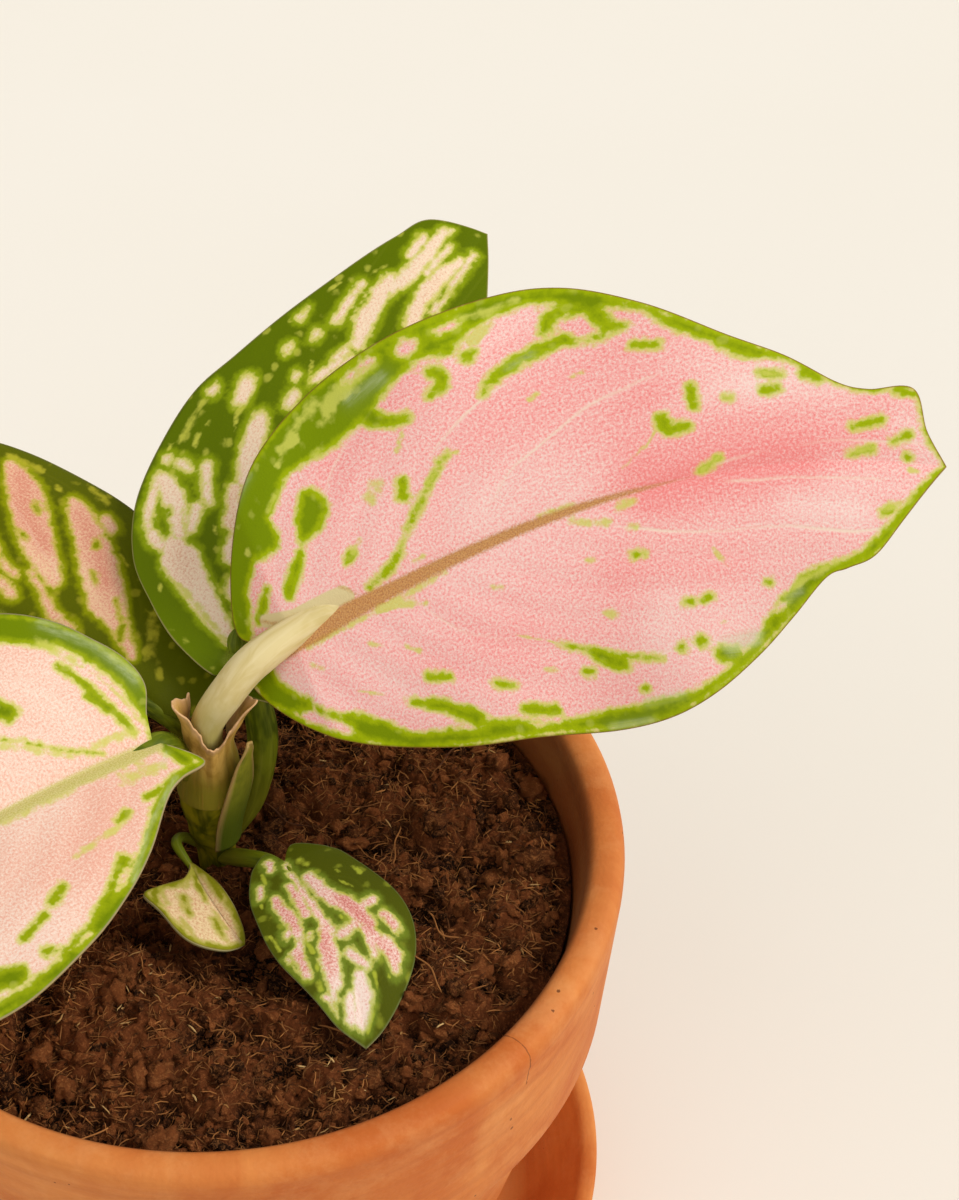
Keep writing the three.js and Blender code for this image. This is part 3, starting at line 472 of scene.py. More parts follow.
        coral=[
            (1.2, 0.9, (15, 4.6), (22, 6.2)), (1, 0.8, (20, -2), (27, -3)), (1, 0.7, (8.4, -5), (16, -5)),
            (0.9, 0.6, (21, 9.2), (22.6, 9.8)), (0.9, 0.6, (25, 6.4), (27, 7)),
            (0.9, 0.5, (8, -2), (14, -2.4)), (0.9, 0.6, (22, -7), (25, -6.8)),
            (0.8, 0.5, (26, 1.6), (27, 2)),
        ],
        cream=[(5, 1, (30, 0), (36, 0)), (30, 0.35, (0, 0), (36, 0))],
        lime=[
            (1.2, (1.4, 2.4), (3, 3)), (0.7, (8.3, 7.1), (8.7, 7.1)), (0.6, (11, 6.2), (13.6, 7.4)),
            (0.8, (9, 10), (11, 10.4)), (0.5, (18.2, 2.5), (18.6, 2.5)), (0.9, (28, -5.6), (29, -5.6)),
            (0.5, (28.8, 3.6), (31, 3.4)), (0.4, (29.6, 5.8), (29.9, 5.8)), (0.6, (20, -5), (22.6, -4.6)),
            (0.5, (24.6, -4.8), (26, -5.2)), (0.5, (15, -9.4), (19, -9.2)),
            (0.4, (7.6, -7.6), (8.6, -7.8)), (0.5, (1.4, -4.6), (3.6, -4.8)),
            (0.5, (33.6, 2), (35.6, 0.6)), (0.4, (31, -4), (32, -3.4)),
        ],
        nerve=[(30, 0.06, (0, 0), (36, 0))],
        rib=[(0.2, (0, 0, 0.3), (16, 0, 0.05), (24, 0, -0.6))],
    ),
    "leaf_curled": dict(
        midrib=[(-5, -4.5, 112.5), (-3, -9, 111.5), (2, -17, 111), (5, -19, 108)],
        left=[
            (0, 0), (0.05, 0.6), (0.2, 1.6), (0.35, 2.4), (0.5, 2.6), (0.65, 2.4), (0.8, 1.8), (0.92, 1),
            (1, 0),
        ],
        right=[
            (0, 0), (0.1, -0.8), (0.2, -3), (0.22, -7.5), (0.26, -10.6), (0.45, -9.6), (0.72, -8.3),
            (0.9, -4.6), (1, 0),
        ],
        roll=(0, 0), fold=(25, 25), droop=(1, 1), reach=10, lobe_drop=3, wave=(0.3, 2, 0.1),
        petiole=[(-3.5, 4, 107), (-6.6, 2, 111.5), (-7.4, -1.4, 113.6), (-5, -4.5, 112.5)],
        stalk_radii=[0.9, 0.9, 0.9, 0.6], steps=(60, 40), ground="pink", spread=0, margin=0.7,
        marks=[
            ("green",
             (0.9, (1, -0.4), (4, -0.6, 0.5), (8, -1.2, 0.2)), (0.6, (3.6, -6), (5, -9), (8, -9.6)),
             (0.5, (7, -4.6), (9.4, -5.4)), (0.4, (12, -2), (15, -2.6)), (0.4, (5, 1.6), (9, 1.8))),
        ],
        coral=[(1.4, 0.3, (9, -3), (13, -5))],
        cream=[(3, 0.4, (10, -3), (15, -5))],
        lime=[
            (1.2, (1, 0), (5, -3)), (1, (4, -7), (7, -8)), (0.8, (9, -1), (14, -1)),
            (0.9, (10, -7), (14, -7)),
        ],
        nerve=[(30, 0.06, (0, 0), (20, 0))],
        rib=[(0.2, (0, 0, -2), (18, 0, -2))],
    ),
}

# Stem, the tip of its sheath, and the papery sheath
STEM_AXIS = [(-1.5, 5, 82), (-1.6, 5, 104), (-1.4, 4.6, 113), (-1.2, 4.2, 121), (-0.9, 3.4, 131)]
STEM_RADII = [3, 3.3, 4.6, 5.7, 4]
TIP_FOOT = (-1.4, 4.4, 110)
TIP_TOP = (0.4, 2.9, 138.5)
TIP_RADII = (4.4, 6.2)
TIP_TURN = -40
TIP_HALF_WRAP = 46
TIP_THICKNESS = 0.4
SHEATH_AXIS = [(-1.1, 3.9, 123), (-1, 3.4, 129), (-0.7, 2.7, 136), (0.2, 2.4, 141), (1.2, 2.5, 146)]
SHEATH_RADII = [5.8, 4.9, 3.9, 4.5, 5.6]
SHEATH_WRAP = 250
SHEATH_TURN = -84
SHEATH_THICKNESS = 0.3

# Where the papery sheath's rim rises to a horn and a flap and dips between them: places round it
# from -1 to 1, with their widths
HORN = (-0.62, 0.16)
FLAP = (0.66, 0.13)
DIP = (0.08, 0.36)


# Curves and surfaces, worked out for many points at once

def unit(vectors):
    return vectors / np.linalg.norm(vectors, axis=-1, keepdims=True)


def smooth(value, low, high):
    share = np.clip((value - low) / (high - low), 0, 1)
    return share * share * (3 - 2 * share)


def hump(value, middle, width):
    """A soft rise of 1 round a middle value."""
    return np.exp(-(((value - middle) / width) ** 2))


def turned(vectors, axis, degrees):
    """Vectors turned about an axis that they stand square to."""
    angle = np.radians(degrees)[:, None]
    return vectors * np.cos(angle) + np.cross(axis, vectors) * np.sin(angle)


def cubic(points, s):
    """Points and slopes of a cubic curve with four control points."""
    a, b, c, d = (np.array(p, float) for p in points)
    s = s[:, None]
    rest = 1 - s
    place = rest**3 * a + 3 * rest * rest * s * b + 3 * rest * s * s * c + s**3 * d
    slope = 3 * (rest * rest * (b - a) + 2 * rest * s * (c - b) + s * s * (d - c))
    return place, slope


def through(points, k):
    """A smooth curve through a list of points, at shares k of the list."""
    points = np.array(points, float)
    last = len(points) - 1
    place = np.clip(k, 0, 1) * last
    i = np.minimum(place.astype(int), last - 1)
    w = (place - i)[:, None]
    before, here = points[np.maximum(i - 1, 0)], points[i]
    after, beyond = points[i + 1], points[np.minimum(i + 2, last)]
    leave, arrive = (after - before) / 2, (beyond - here) / 2
    return (
        (2 * here - 2 * after + leave + arrive) * w**3
        + (3 * after - 3 * here - 2 * leave - arrive) * w**2
        + leave * w
        + here
    )


def along(values, k):
    """A value along a list, by smooth steps between its entries."""
    values = np.array(values, float)
    place = np.clip(k, 0, 1) * (len(values) - 1)
    i = np.minimum(place.astype(int), len(values) - 2)
    return values[i] + (values[i + 1] - values[i]) * smooth(place - i, 0, 1)


def from_line(flat, line):
    """How far each flat point is from a line of points."""
    return -inside_stroke(flat, 0, line)


def inside_stroke(flat, half_width, line):
    """How deep each flat point lies in a stroke, below 0 outside it. A point of the line may
    have a half width of its own as its third number."""
    deepest = np.full(len(flat), -np.inf)
    for here, there in zip(line, line[1:]):
        a, run = np.array(here[:2], float), np.subtract(there[:2], here[:2])
        share = np.clip((flat - a) @ run / (run @ run), 0, 1)
        r0, r1 = (point[2] if len(point) > 2 else half_width for point in (here, there))
        reach = r0 + (r1 - r0) * share - np.linalg.norm(flat - a - share[:, None] * run, axis=1)
        deepest = np.maximum(deepest, reach)
    return deepest


# Pieces

def store(mesh, points, facts):
    """Moves a mesh's vertices to points in mm, and keeps facts about them for the materials."""
    mesh.vertices.foreach_set("co", (points * METRES).astype(np.float32).ravel())
    for name, values in facts.items():
        wide = values.ndim == 2
        layer = mesh.attributes.new(name, "FLOAT_VECTOR" if wide else "FLOAT", "POINT")
        layer.data.foreach_set("vector" if wide else "value", values.astype(np.float32).ravel())


def finish_piece(bm, name, skins, nodes=(), smooth_faces=True):
    """A mesh object from a bmesh, with its materials, which rides on the one body."""
    mesh = bpy.data.meshes.new(name)
    bm.to_mesh(mesh)
    bm.free()
    for skin in skins:
        mesh.materials.append(skin)
    mesh.polygons.foreach_set("use_smooth", [smooth_faces] * len(mesh.polygons))
    piece = bpy.data.objects.new(name, mesh)
    bpy.context.scene.collection.objects.link(piece)
    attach(piece, "root")
    if nodes:
        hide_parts(*nodes)
    return piece


def laid(surface, steps_along, steps_across, closed=False):
    """A grid laid on a surface, as a bmesh. The surface takes shares along from 0 to 1 and places
    across from -1 to 1, and gives points and facts. A closed one joins its two sides."""
    bm = bmesh.new()
    bmesh.ops.create_grid(bm, x_segments=steps_across, y_segments=steps_along, size=1)
    mesh = bpy.data.meshes.new("laid")
    bm.to_mesh(mesh)
    grid = np.empty(len(mesh.vertices) * 3)
    mesh.vertices.foreach_get("co", grid)
    grid = grid.reshape(-1, 3)
    store(mesh, *surface((grid[:, 1] + 1) / 2, grid[:, 0]))
    bm.clear()
    bm.from_mesh(mesh)
    bpy.data.meshes.remove(mesh)
    bmesh.ops.remove_doubles(bm, verts=bm.verts, dist=1e-6)
    if closed:
        bmesh.ops.recalc_face_normals(bm, faces=bm.faces)
    return bm


def thicken(piece, thickness):
    """A wall of a sheet's own thickness, whose back and rim take the second material."""
    wall = piece.modifiers.new("thickness", "SOLIDIFY")
    wall.thickness = thickness * METRES
    wall.offset = 0
    wall.material_offset = 1
    wall.material_offset_rim = 1


# Leaves

def vein_start(leaf, length, x, out):
    """Where on the midrib the side vein through a point starts. A vein leaves the midrib at a
    slant, then bends along the margin, and the last ones start well before the leaf's tip."""
    last, bend = VEIN_LAST * length, VEIN_BEND * length
    low, high = np.full(len(x), -length), np.minimum(x, last)
    for _ in range(30):
        middle = (low + high) / 2
        reach = 1.08 * leaf["reach"] * (1 - middle / last) * (1 - np.exp((middle - x) / bend))
        low, high = np.where(reach > out, middle, low), np.where(reach > out, high, middle)
    return low


def place_blade(leaf, share, out):
    """Points of a blade's surface and their normals, for shares of its midrib and ways out."""
    s = np.clip(share, 0, 1)
    rib, slope = cubic(leaf["midrib"], s)
    start_slope = cubic(leaf["midrib"], np.zeros(1))[1][0]
    tangent = unit(slope)
    across = unit(np.cross(UP, tangent))
    normal = np.cross(tangent, across)
    roll = leaf["roll"][0] + (leaf["roll"][1] - leaf["roll"][0]) * s
    across, normal = turned(across, tangent, roll), turned(normal, tangent, roll)
    reach = np.abs(out)
    side = np.where(out > 0, 0, 1)
    bend = (reach / leaf["reach"]) ** 2
    height, count, phase = leaf["wave"]
    ripple = height * np.sin(2 * np.pi * (count * share + phase + side / 3)) * bend
    fold = np.tan(np.radians(np.array(leaf["fold"])[side]))
    droop = np.array(leaf["droop"])[side]
    rise = fold * reach - droop * bend + ripple - leaf["lobe_drop"] * np.maximum(-share, 0)
    point = rib + start_slope * np.minimum(share, 0)[:, None] + across * out[:, None]
    return point + normal * rise[:, None], normal


def midrib_length(leaf):
    rib = cubic(leaf["midrib"], np.linspace(0, 1, 200))[0]
    return np.linalg.norm(np.diff(rib, axis=0), axis=1).sum()


def mark_depth(leaf, flat, edge):
    """How deep each point lies in green skin, in mm, or below 0 how far it is from it."""
    depth = np.full(len(flat), -6.0 if leaf["ground"] == "pink" else 3.0)
    for colour, *strokes in leaf["marks"]:
        for half_width, *line in strokes:
            inside = inside_stroke(flat, half_width, line)
            if colour == "green":
                depth = np.maximum(depth, inside)
            else:
                depth = np.minimum(depth, -inside - leaf["spread"])
    return np.maximum(depth, leaf["margin"] - edge)


def tint(flat, strokes):
    """How strong a soft colour is at each point, from its strokes."""
    total = np.zeros(len(flat))
    for reach, *line in strokes:
        strength = 1 if isinstance(line[0], tuple) else line.pop(0)
        total += strength * hump(from_line(flat, line), 0, reach)
    return total


def blade_surface(leaf):
    """The blade as a surface for laid(): its outline, its veins, and what its skin needs."""
    length = midrib_length(leaf)
    relief = min(length / 100, 1)
    near = 0.05

    def surface(k, t):
        reach = np.abs(t)
        edge = np.where((t < 0)[:, None], through(leaf["left"], k), through(leaf["right"], k))
        share = k**CROSS_SPACING * (1 - reach) + edge[:, 0] * reach
        x, out = share * length, edge[:, 1] * reach
        flat = np.stack([x, out], axis=1)
        distance = np.abs(out)
        start = vein_start(leaf, length, x, distance)
        crowd = np.hypot(
            vein_start(leaf, length, x + near, distance) - start,
            vein_start(leaf, length, x, distance + near) - start,
        ) / near
        point, normal = place_blade(leaf, share, out)
        ripe = smooth(distance, 1.5, 7) * smooth(1 - reach, 0, 0.25) / np.maximum(crowd, 1)
        groove = -GROOVE_DEPTH * np.cos(2 * np.pi * (start - VEIN_FIRST) / VEIN_SPACING) * ripe
        channel = -CHANNEL_DEPTH * hump(distance, 0, CHANNEL_WIDTH) * (1 - 0.7 * np.clip(share, 0, 1))
        point = point + normal * ((groove + channel) * relief)[:, None]
        line = [through(leaf[way], np.linspace(0, 1, 90)) * (length, 1) for way in ("left", "right")]
        outline = np.concatenate([line[0], line[1][::-1]])
        keep = np.linalg.norm(np.diff(outline, axis=0), axis=1) > 1e-6
        outline = outline[np.concatenate([[True], keep])]
        border = from_line(flat, outline[7:-7])
        rib = np.max([inside_stroke(flat, half, run) for half, *run in leaf["rib"]], axis=0)
        facts = {
            "flat": np.column_stack([flat, np.zeros(len(flat))]),
            "vein": np.column_stack([start, distance, np.where(out > 0, 0, 50)]),
            "crowd": crowd,
            "green": mark_depth(leaf, flat, border),
            "border": border,
            "rib": rib,
            **{name: tint(flat, leaf.get(name, [])) for name in SOFT_COLOURS},
        }
        return point, facts

    return surface


def stalk_surface(points, radii, blunt=0.03, ridges=0, ridge=0.0):
    """A round stalk along a curve, closed by blunt ends, with so many ridges along it."""
    axis = np.array(points, float)
    length = np.linalg.norm(np.diff(axis, axis=0), axis=1).sum()

    def surface(k, t):
        place = through(axis, k)
        slope = through(axis, np.minimum(k + 1e-3, 1)) - through(axis, np.maximum(k - 1e-3, 0))
        tangent = unit(slope)
        across = unit(np.array([1.0, 0, 0]) - tangent * tangent[:, :1])
        forward = np.cross(across, tangent)
        end = np.minimum(np.minimum(k, 1 - k) / blunt, 1)
        radius = along(radii, k) * np.sqrt(1 - (1 - end) ** 2)
        angle = np.pi * t
        radius = radius * (1 + ridge * np.cos(ridges * angle))
        aside, ahead = np.cos(angle), np.sin(angle)
        point = place + across * (aside * radius)[:, None] + forward * (ahead * radius)[:, None]
        way = np.column_stack([aside * 3, ahead * 3, k * length])
        return point, {"flat": way, "share": k}

    return surface


def make_leaf(name, leaf, skin, under, petiole_skin):
    """One leaf: its blade, with its underside, and its petiole, which ends in the midrib."""
    bm = laid(blade_surface(leaf), *leaf["steps"])
    blade = finish_piece(bm, name + "_blade", [skin, under], [name])
    thicken(blade, BLADE_THICKNESS)
    radii = leaf["stalk_radii"]
    rib, normal = place_blade(leaf, RIB_SHARES, np.zeros(len(RIB_SHARES)))
    sinks = radii[-1] * RIB_SINKS + leaf.get("sunk", 0.3)
    path = [*leaf["petiole"][:-1], *(tuple(point) for point in rib - normal * sinks[:, None])]
    bm = laid(stalk_surface(path, [*radii[:-1], *radii[-1] * RIB_TAPER]), 14 * len(path), 24, closed=True)
    finish_piece(bm, name + "_petiole", [petiole_skin], [name])


# Stem and sheaths

def tip_surface(k, t):
    """The stem sheath's tip: it wraps the stem at its foot and narrows to a hooded point."""
    narrow = 1 - 0.9 * k**2.2
    turn = np.radians(TIP_TURN + 8 * k + t * TIP_HALF_WRAP * narrow)
    normal = np.column_stack([np.cos(turn), np.sin(turn), np.zeros(len(turn))])
    radius = TIP_RADII[0] + (TIP_RADII[1] - TIP_RADII[0]) * smooth(k, 0, 0.6)
    radius = radius + 0.7 * smooth(k, 0.8, 1) + 0.5 * k * t**2
    foot, top = np.array(TIP_FOOT), np.array(TIP_TOP)
    point = foot + (top - foot) * k[:, None] + normal * radius[:, None]
    facts = {"flat": np.column_stack([t * 5 * narrow, 0 * k, k * 27]), "share": k, "round": np.abs(t)}
    return point, facts


def sheath_surface(k, t):
    """The papery sheath: its rim dips at the front, flares to a torn horn at the left and has
    a small flap at the right."""
    turn = np.radians(SHEATH_TURN + t * SHEATH_WRAP / 2)
    ragged = 0.012 * np.sin(t * 23) + 0.008 * np.sin(t * 57 + 1)
    horn, flap, dip = (hump(t, *place) for place in (HORN, FLAP, DIP))
    top = 0.9 - 0.34 * dip + 0.16 * horn + 0.07 * flap + ragged
    s = k * top
    flare = k**4 * (1.5 * horn + 1.1 * flap) + 0.3 * np.sin(t * 9 + 1) * k**2
    pleat = 0.12 * np.sin(t * 31) * smooth(k, 0.1, 0.6)
    normal = np.column_stack([np.cos(turn), np.sin(turn), np.zeros(len(turn))])
    point = through(SHEATH_AXIS, np.minimum(s, 1))
    point += normal * (along(SHEATH_RADII, s) + flare + pleat)[:, None]
    point[:, 2] += np.maximum(s - 1, 0) * 22
    return point, {"flat": np.column_stack([t * 11, 0 * k, k * 20]), "share": k, "round": np.abs(t)}


# Soil

def soil_height(x, y):
    """The height of the soil's clods and hollows over its mean level."""
    height = 1.4 * hump(np.hypot(x - STEM_AXIS[0][0], y - STEM_AXIS[0][1]), 0, 10)
    for cx, cy, radius, rise in CLODS + HOLLOWS:
        away = np.hypot(x - cx, y - cy) / radius
        dome = np.sqrt(np.clip(1 - away**2, 0, 1)) if rise > 0 else np.exp(-(away**2) * 1.6)
        height = height + rise * dome
    return height


def lumps(points, scale, seed):
    """Smooth noise between -1 and 1 at each point, whose lumps are about scale mm wide."""
    shift = Vector((seed * 17.3, seed * 5.1, seed * 9.7))
    return np.array([noise.noise(Vector(p) / scale + shift) for p in points])


def soil_relief(points):
    """The lumps of the soil down to a few millimetres, with cracks between them."""
    broad = 2.9 * lumps(points, 6.5, 1)
    return broad + 3.2 * (0.3 - np.abs(lumps(points, 3, 2)))


def make_soil(skin):
    """The soil: a disc with clods, whose edge goes down to the pot's floor."""

    def surface(k, t):
        u, v = t, 2 * k - 1
        x = u * np.sqrt(1 - v * v / 2) * SOIL_EDGE
        y = v * np.sqrt(1 - u * u / 2) * SOIL_EDGE
        flat = np.column_stack([x, y, 0 * x])
        height = soil_height(x, y) + soil_relief(flat)
        height += 0.9 * lumps(flat, 1.3, 3) + 0.5 * lumps(flat, 0.75, 4)
        calm = smooth(SOIL_EDGE - np.hypot(x, y), -1, 4)
        point = np.column_stack([x, y, SOIL_TOP + height * calm - 1.5 * (1 - calm)])
        # painted shade: the hollows are painted darker and the clods lighter, by their height
        return point, {"shade": np.clip(0.42 + 0.22 * height, 0, 1)}

    bm = laid(surface, SOIL_STEPS, SOIL_STEPS)
    rim = [e for e in bm.edges if e.is_boundary]
    wall = bmesh.ops.extrude_edge_only(bm, edges=rim)["geom"]
    for v in (piece for piece in wall if isinstance(piece, bmesh.types.BMVert)):
        v.co.x *= SOIL_FOOT / SOIL_EDGE
        v.co.y *= SOIL_FOOT / SOIL_EDGE
        v.co.z = (SAUCER_FLOOR + POT_FLOOR) * METRES
    foot = [e for e in wall if isinstance(e, bmesh.types.BMEdge) and e.is_boundary]
    bmesh.ops.edgeloop_fill(bm, edges=foot)
    bmesh.ops.recalc_face_normals(bm, faces=bm.faces)
    finish_piece(bm, "soil_bed", [skin], ["soil"])


def scattered(rng, count, groups=()):
    """Places on the soil with their heights, clear of the stem. Some lie in close groups."""
    places = []
    while len(places) < count:
        if groups and rng.random() < GROUPED_SHARE:
            cx, cy, spread = rng.choice(groups)
            x, y = rng.gauss(cx, spread), rng.gauss(cy, spread)
        else:
            angle, away = rng.uniform(0, 2 * math.pi), SCATTER_EDGE * math.sqrt(rng.random())
            x, y = away * math.cos(angle), away * math.sin(angle)
        from_stem = math.hypot(x - STEM_AXIS[1][0], y - STEM_AXIS[1][1])
        if math.hypot(x, y) < SCATTER_EDGE and from_stem > STEM_CLEAR:
            places.append((x, y, 0))
    places = np.array(places)
    places[:, 2] = SOIL_TOP + soil_height(places[:, 0], places[:, 1]) + soil_relief(places * (1, 1, 0))
    return places


def strewn(name, shape, mesh, placed, shades, skin, smooth_faces):
    """One piece of many small ones: each entry of placed gives the points of one."""
    bm = bmesh.new()
    for points in placed:
        mesh.vertices.foreach_set("co", (points * METRES).astype(np.float32).ravel())
        bm.from_mesh(mesh)
    bpy.data.meshes.remove(mesh)
    piece = finish_piece(bm, name, [skin], smooth_faces=smooth_faces)
    layer = piece.data.attributes.new("shade", "FLOAT", "POINT")
    layer.data.foreach_set("value", np.repeat(np.array(shades, np.float32), len(shape)))


def small_mesh(bm):
    """A bmesh as a mesh to repeat, with its points in a list."""
    mesh = bpy.data.meshes.new("small")
    bm.to_mesh(mesh)
    bm.free()
    return mesh, np.array([v.co[:] for v in mesh.vertices])


def make_crumbs(name, skin, count, sizes, rounds, seed):
    """Crumbs of soil: broken, angular lumps pressed into the bed."""
    rng = random.Random(seed)
    ball = bmesh.new()
    bmesh.ops.create_icosphere(ball, subdivisions=rounds, radius=1)
    mesh, shape = small_mesh(ball)
    placed, shades = [], []
    for x, y, z in scattered(rng, count):
        size = sizes[0] + (sizes[1] - sizes[0]) * rng.random() ** 2.5
        stretch = np.array([rng.uniform(0.5, 1.5), rng.uniform(0.6, 1.2), rng.uniform(0.4, 1)])
        rough = np.array([noise.noise(Vector(p) * 1.7 + Vector((x, y, seed))) for p in shape])
        finer = np.array([noise.noise(Vector(p) * 4.1 + Vector((y, x, seed))) for p in shape])
        lump = 1 + 0.75 * rough + 0.4 * finer
        turn = np.array(Matrix.Rotation(rng.uniform(0, 2 * math.pi), 3, "Z"))
        tip = np.array(Matrix.Rotation(rng.uniform(-0.8, 0.8), 3, "X"))
        points = (shape * lump[:, None] * stretch * size) @ tip.T @ turn.T
        placed.append(points + (x, y, z + rng.uniform(-0.1, 0.5) * size))
        shades.append(rng.random())
    strewn(name, shape, mesh, placed, shades, skin, rounds > 1)


def make_fibres(name, skin, count, lengths, widths, seed, lift, bends, steps=4, sides=3, groups=()):
    """Fibres of coir: thin strands that lie on the crumbs or stick out of them."""
    rng = random.Random(seed)
    strand = bmesh.new()
    bmesh.ops.create_grid(strand, x_segments=sides, y_segments=steps, size=1)
    grid = np.array([v.co[:] for v in strand.verts])
    for v, (u, w, _) in zip(strand.verts, grid):
        blunt = math.sqrt(max(1 - w**4, 0))
        v.co = (w, blunt * math.cos(u * math.pi), blunt * math.sin(u * math.pi))
    bmesh.ops.remove_doubles(strand, verts=strand.verts, dist=1e-4)
    bmesh.ops.recalc_face_normals(strand, faces=strand.faces)
    mesh, shape = small_mesh(strand)
    s = shape[:, 0] / 2
    placed, shades = [], []
    for x, y, z in scattered(rng, count, groups):
        length, width = rng.uniform(*lengths), rng.uniform(*widths)
        way, bend = rng.uniform(0, 2 * math.pi), rng.uniform(-bends, bends)
        rise, arch = rng.uniform(-0.3, 0.3), rng.uniform(0, 0.3)
        ahead = s * length
        aside = bend * length * s**2 + 0.1 * bend * length * np.sin(s * 9 + bend * 7)
        up = arch * length * (0.25 - s**2) + rise * ahead + lift * rng.uniform(0.3, 1.5)
        across = aside + shape[:, 1] * width / 2
        placed.append(np.column_stack([
            x + ahead * math.cos(way) - across * math.sin(way),
            y + ahead * math.sin(way) + across * math.cos(way),
            z + up + shape[:, 2] * width / 2,
        ]))
        shades.append(rng.random())
    strewn(name, shape, mesh, placed, shades, skin, True)


# Pot and saucer

def spun(profile):
    """A profile of radii and heights turned round the upright axis, as a bmesh."""
    bm = bmesh.new()
    points = [bm.verts.new((r * METRES, 0, z * METRES)) for r, z in profile]
    edges = [bm.edges.new(pair) for pair in zip(points, points[1:])]
    bmesh.ops.spin(
        bm, geom=points + edges, cent=(0, 0, 0), axis=(0, 0, 1), dvec=(0, 0, 0),
        angle=2 * math.pi, steps=TURN_STEPS, use_merge=True,
    )
    bmesh.ops.remove_doubles(bm, verts=bm.verts, dist=1e-6)
    bmesh.ops.recalc_face_normals(bm, faces=bm.faces)
    return bm


def rounded(corners):
    """A profile from corners, each a radius from the axis, a height and how round it is."""
    profile = []
    last = len(corners) - 1
    for i, (r, z, soft) in enumerate(corners):
        here = np.array([r, z], float)
        if soft == 0 or i in (0, last):
            profile.append((r, z))
            continue
        before, after = (np.array(corners[j][:2], float) for j in (i - 1, i + 1))
        start = here + unit(before - here) * min(soft, 0.5 * np.linalg.norm(before - here))
        end = here + unit(after - here) * min(soft, 0.5 * np.linalg.norm(after - here))
        for share in np.linspace(0, 1, 7):
            point = (1 - share) ** 2 * start + 2 * share * (1 - share) * here + share**2 * end
            profile.append(tuple(point))
    return profile


def inside_radius(z):
    low, high = SAUCER_FLOOR + POT_FLOOR, POT_TOP - 5
    return INSIDE_BOTTOM + (RIM_INSIDE - 0.7 - INSIDE_BOTTOM) * (z - low) / (high - low)


def uneven(bm, amount):
    """Throws a turned pot a little out of true, as a pressed and fired one is."""
    for v in bm.verts:
        angle = math.atan2(v.co.y, v.co.x)
        swell = amount * (math.sin(2 * angle + 0.7) + 0.5 * math.sin(3 * angle + v.co.z * 40))
        away = math.hypot(v.co.x, v.co.y)
        if away > 0.02:
            v.co.xy *= 1 + swell * METRES / away
    return bm


def make_pot(skin):
    low = SAUCER_FLOOR
    band = POT_TOP - BAND_HEIGHT
    profile = rounded([
        (DRAIN, low, 0), (POT_BASE, low, 1.4), (BAND_BOTTOM - BAND_STEP, band - 1.5, 1.4),
        (BAND_BOTTOM, band - 0.2, 1.6), (POT_RIM, POT_TOP, 4.2), (RIM_INSIDE + 0.4, POT_TOP + 0.2, 3.4),
        (RIM_INSIDE - 0.7, POT_TOP - 7, 4), (inside_radius(low + POT_FLOOR + 3), low + POT_FLOOR + 3, 3),
        (INSIDE_BOTTOM - 3, low + POT_FLOOR, 2), (DRAIN, low + POT_FLOOR, 0.8), (DRAIN, low, 0),
    ])
    dense = []
    for (r0, z0), (r1, z1) in zip(profile, profile[1:]):
        cuts = max(1, int(math.hypot(r1 - r0, z1 - z0) / 3))
        dense += [(r0 + (r1 - r0) * i / cuts, z0 + (z1 - z0) * i / cuts) for i in range(cuts)]
    bm = uneven(spun(dense + [profile[-1]]), POT_UNEVEN)
    finish_piece(bm, "pot_body", [skin], ["pot"])


def make_saucer(skin):
    inside = SAUCER_RIM - 3.5
    profile = rounded([
        (0, 0, 0), (SAUCER_BASE, 0, 1.2), (SAUCER_RIM, SAUCER_HEIGHT, 2.4),
        (inside + 0.2, SAUCER_HEIGHT, 1.6), (SAUCER_BASE - 3, SAUCER_FLOOR, 3), (0, SAUCER_FLOOR, 0),
    ])
    bm = uneven(spun(profile), SAUCER_UNEVEN)
    finish_piece(bm, "saucer_dish", [skin], ["saucer"])


# Materials

SOFT = {"interpolation_type": "SMOOTHSTEP"}
MULTIPLY, MULTIPLY_ADD = {"operation": "MULTIPLY"}, {"operation": "MULTIPLY_ADD"}


def paint(code):
    """An sRGB hex colour as the linear colour that a shader takes."""
    parts = [int(code[i:i + 2], 16) / 255 for i in (1, 3, 5)]
    return [c / 12.92 if c <= 0.04045 else ((c + 0.055) / 1.055) ** 2.4 for c in parts] + [1]


def add_node(tree, kind, inputs=None, out=None, **settings):
    """Adds a shader node with its settings and its inputs, each a link or a value, and gives the
    output named, or else the first in use. An input is named, or numbered where names repeat."""
    node = tree.nodes.new("ShaderNode" + kind)
    for name, value in settings.items():
        setattr(node, name, value)
    for key, value in (inputs or {}).items():
        socket = node.inputs[key] if isinstance(key, int) else next(
            s for s in node.inputs if s.name == key and s.enabled)
        if isinstance(value, bpy.types.NodeSocket):
            tree.links.new(value, socket)
        else:
            socket.default_value = value
    return node.outputs[out] if out else next((o for o in node.outputs if o.enabled), node)


def new_skin(name):
    """An empty material, and what adds nodes to it."""
    skin = bpy.data.materials.new(name)
    skin.use_nodes = True
    skin.node_tree.nodes.clear()
    return skin, partial(add_node, skin.node_tree)


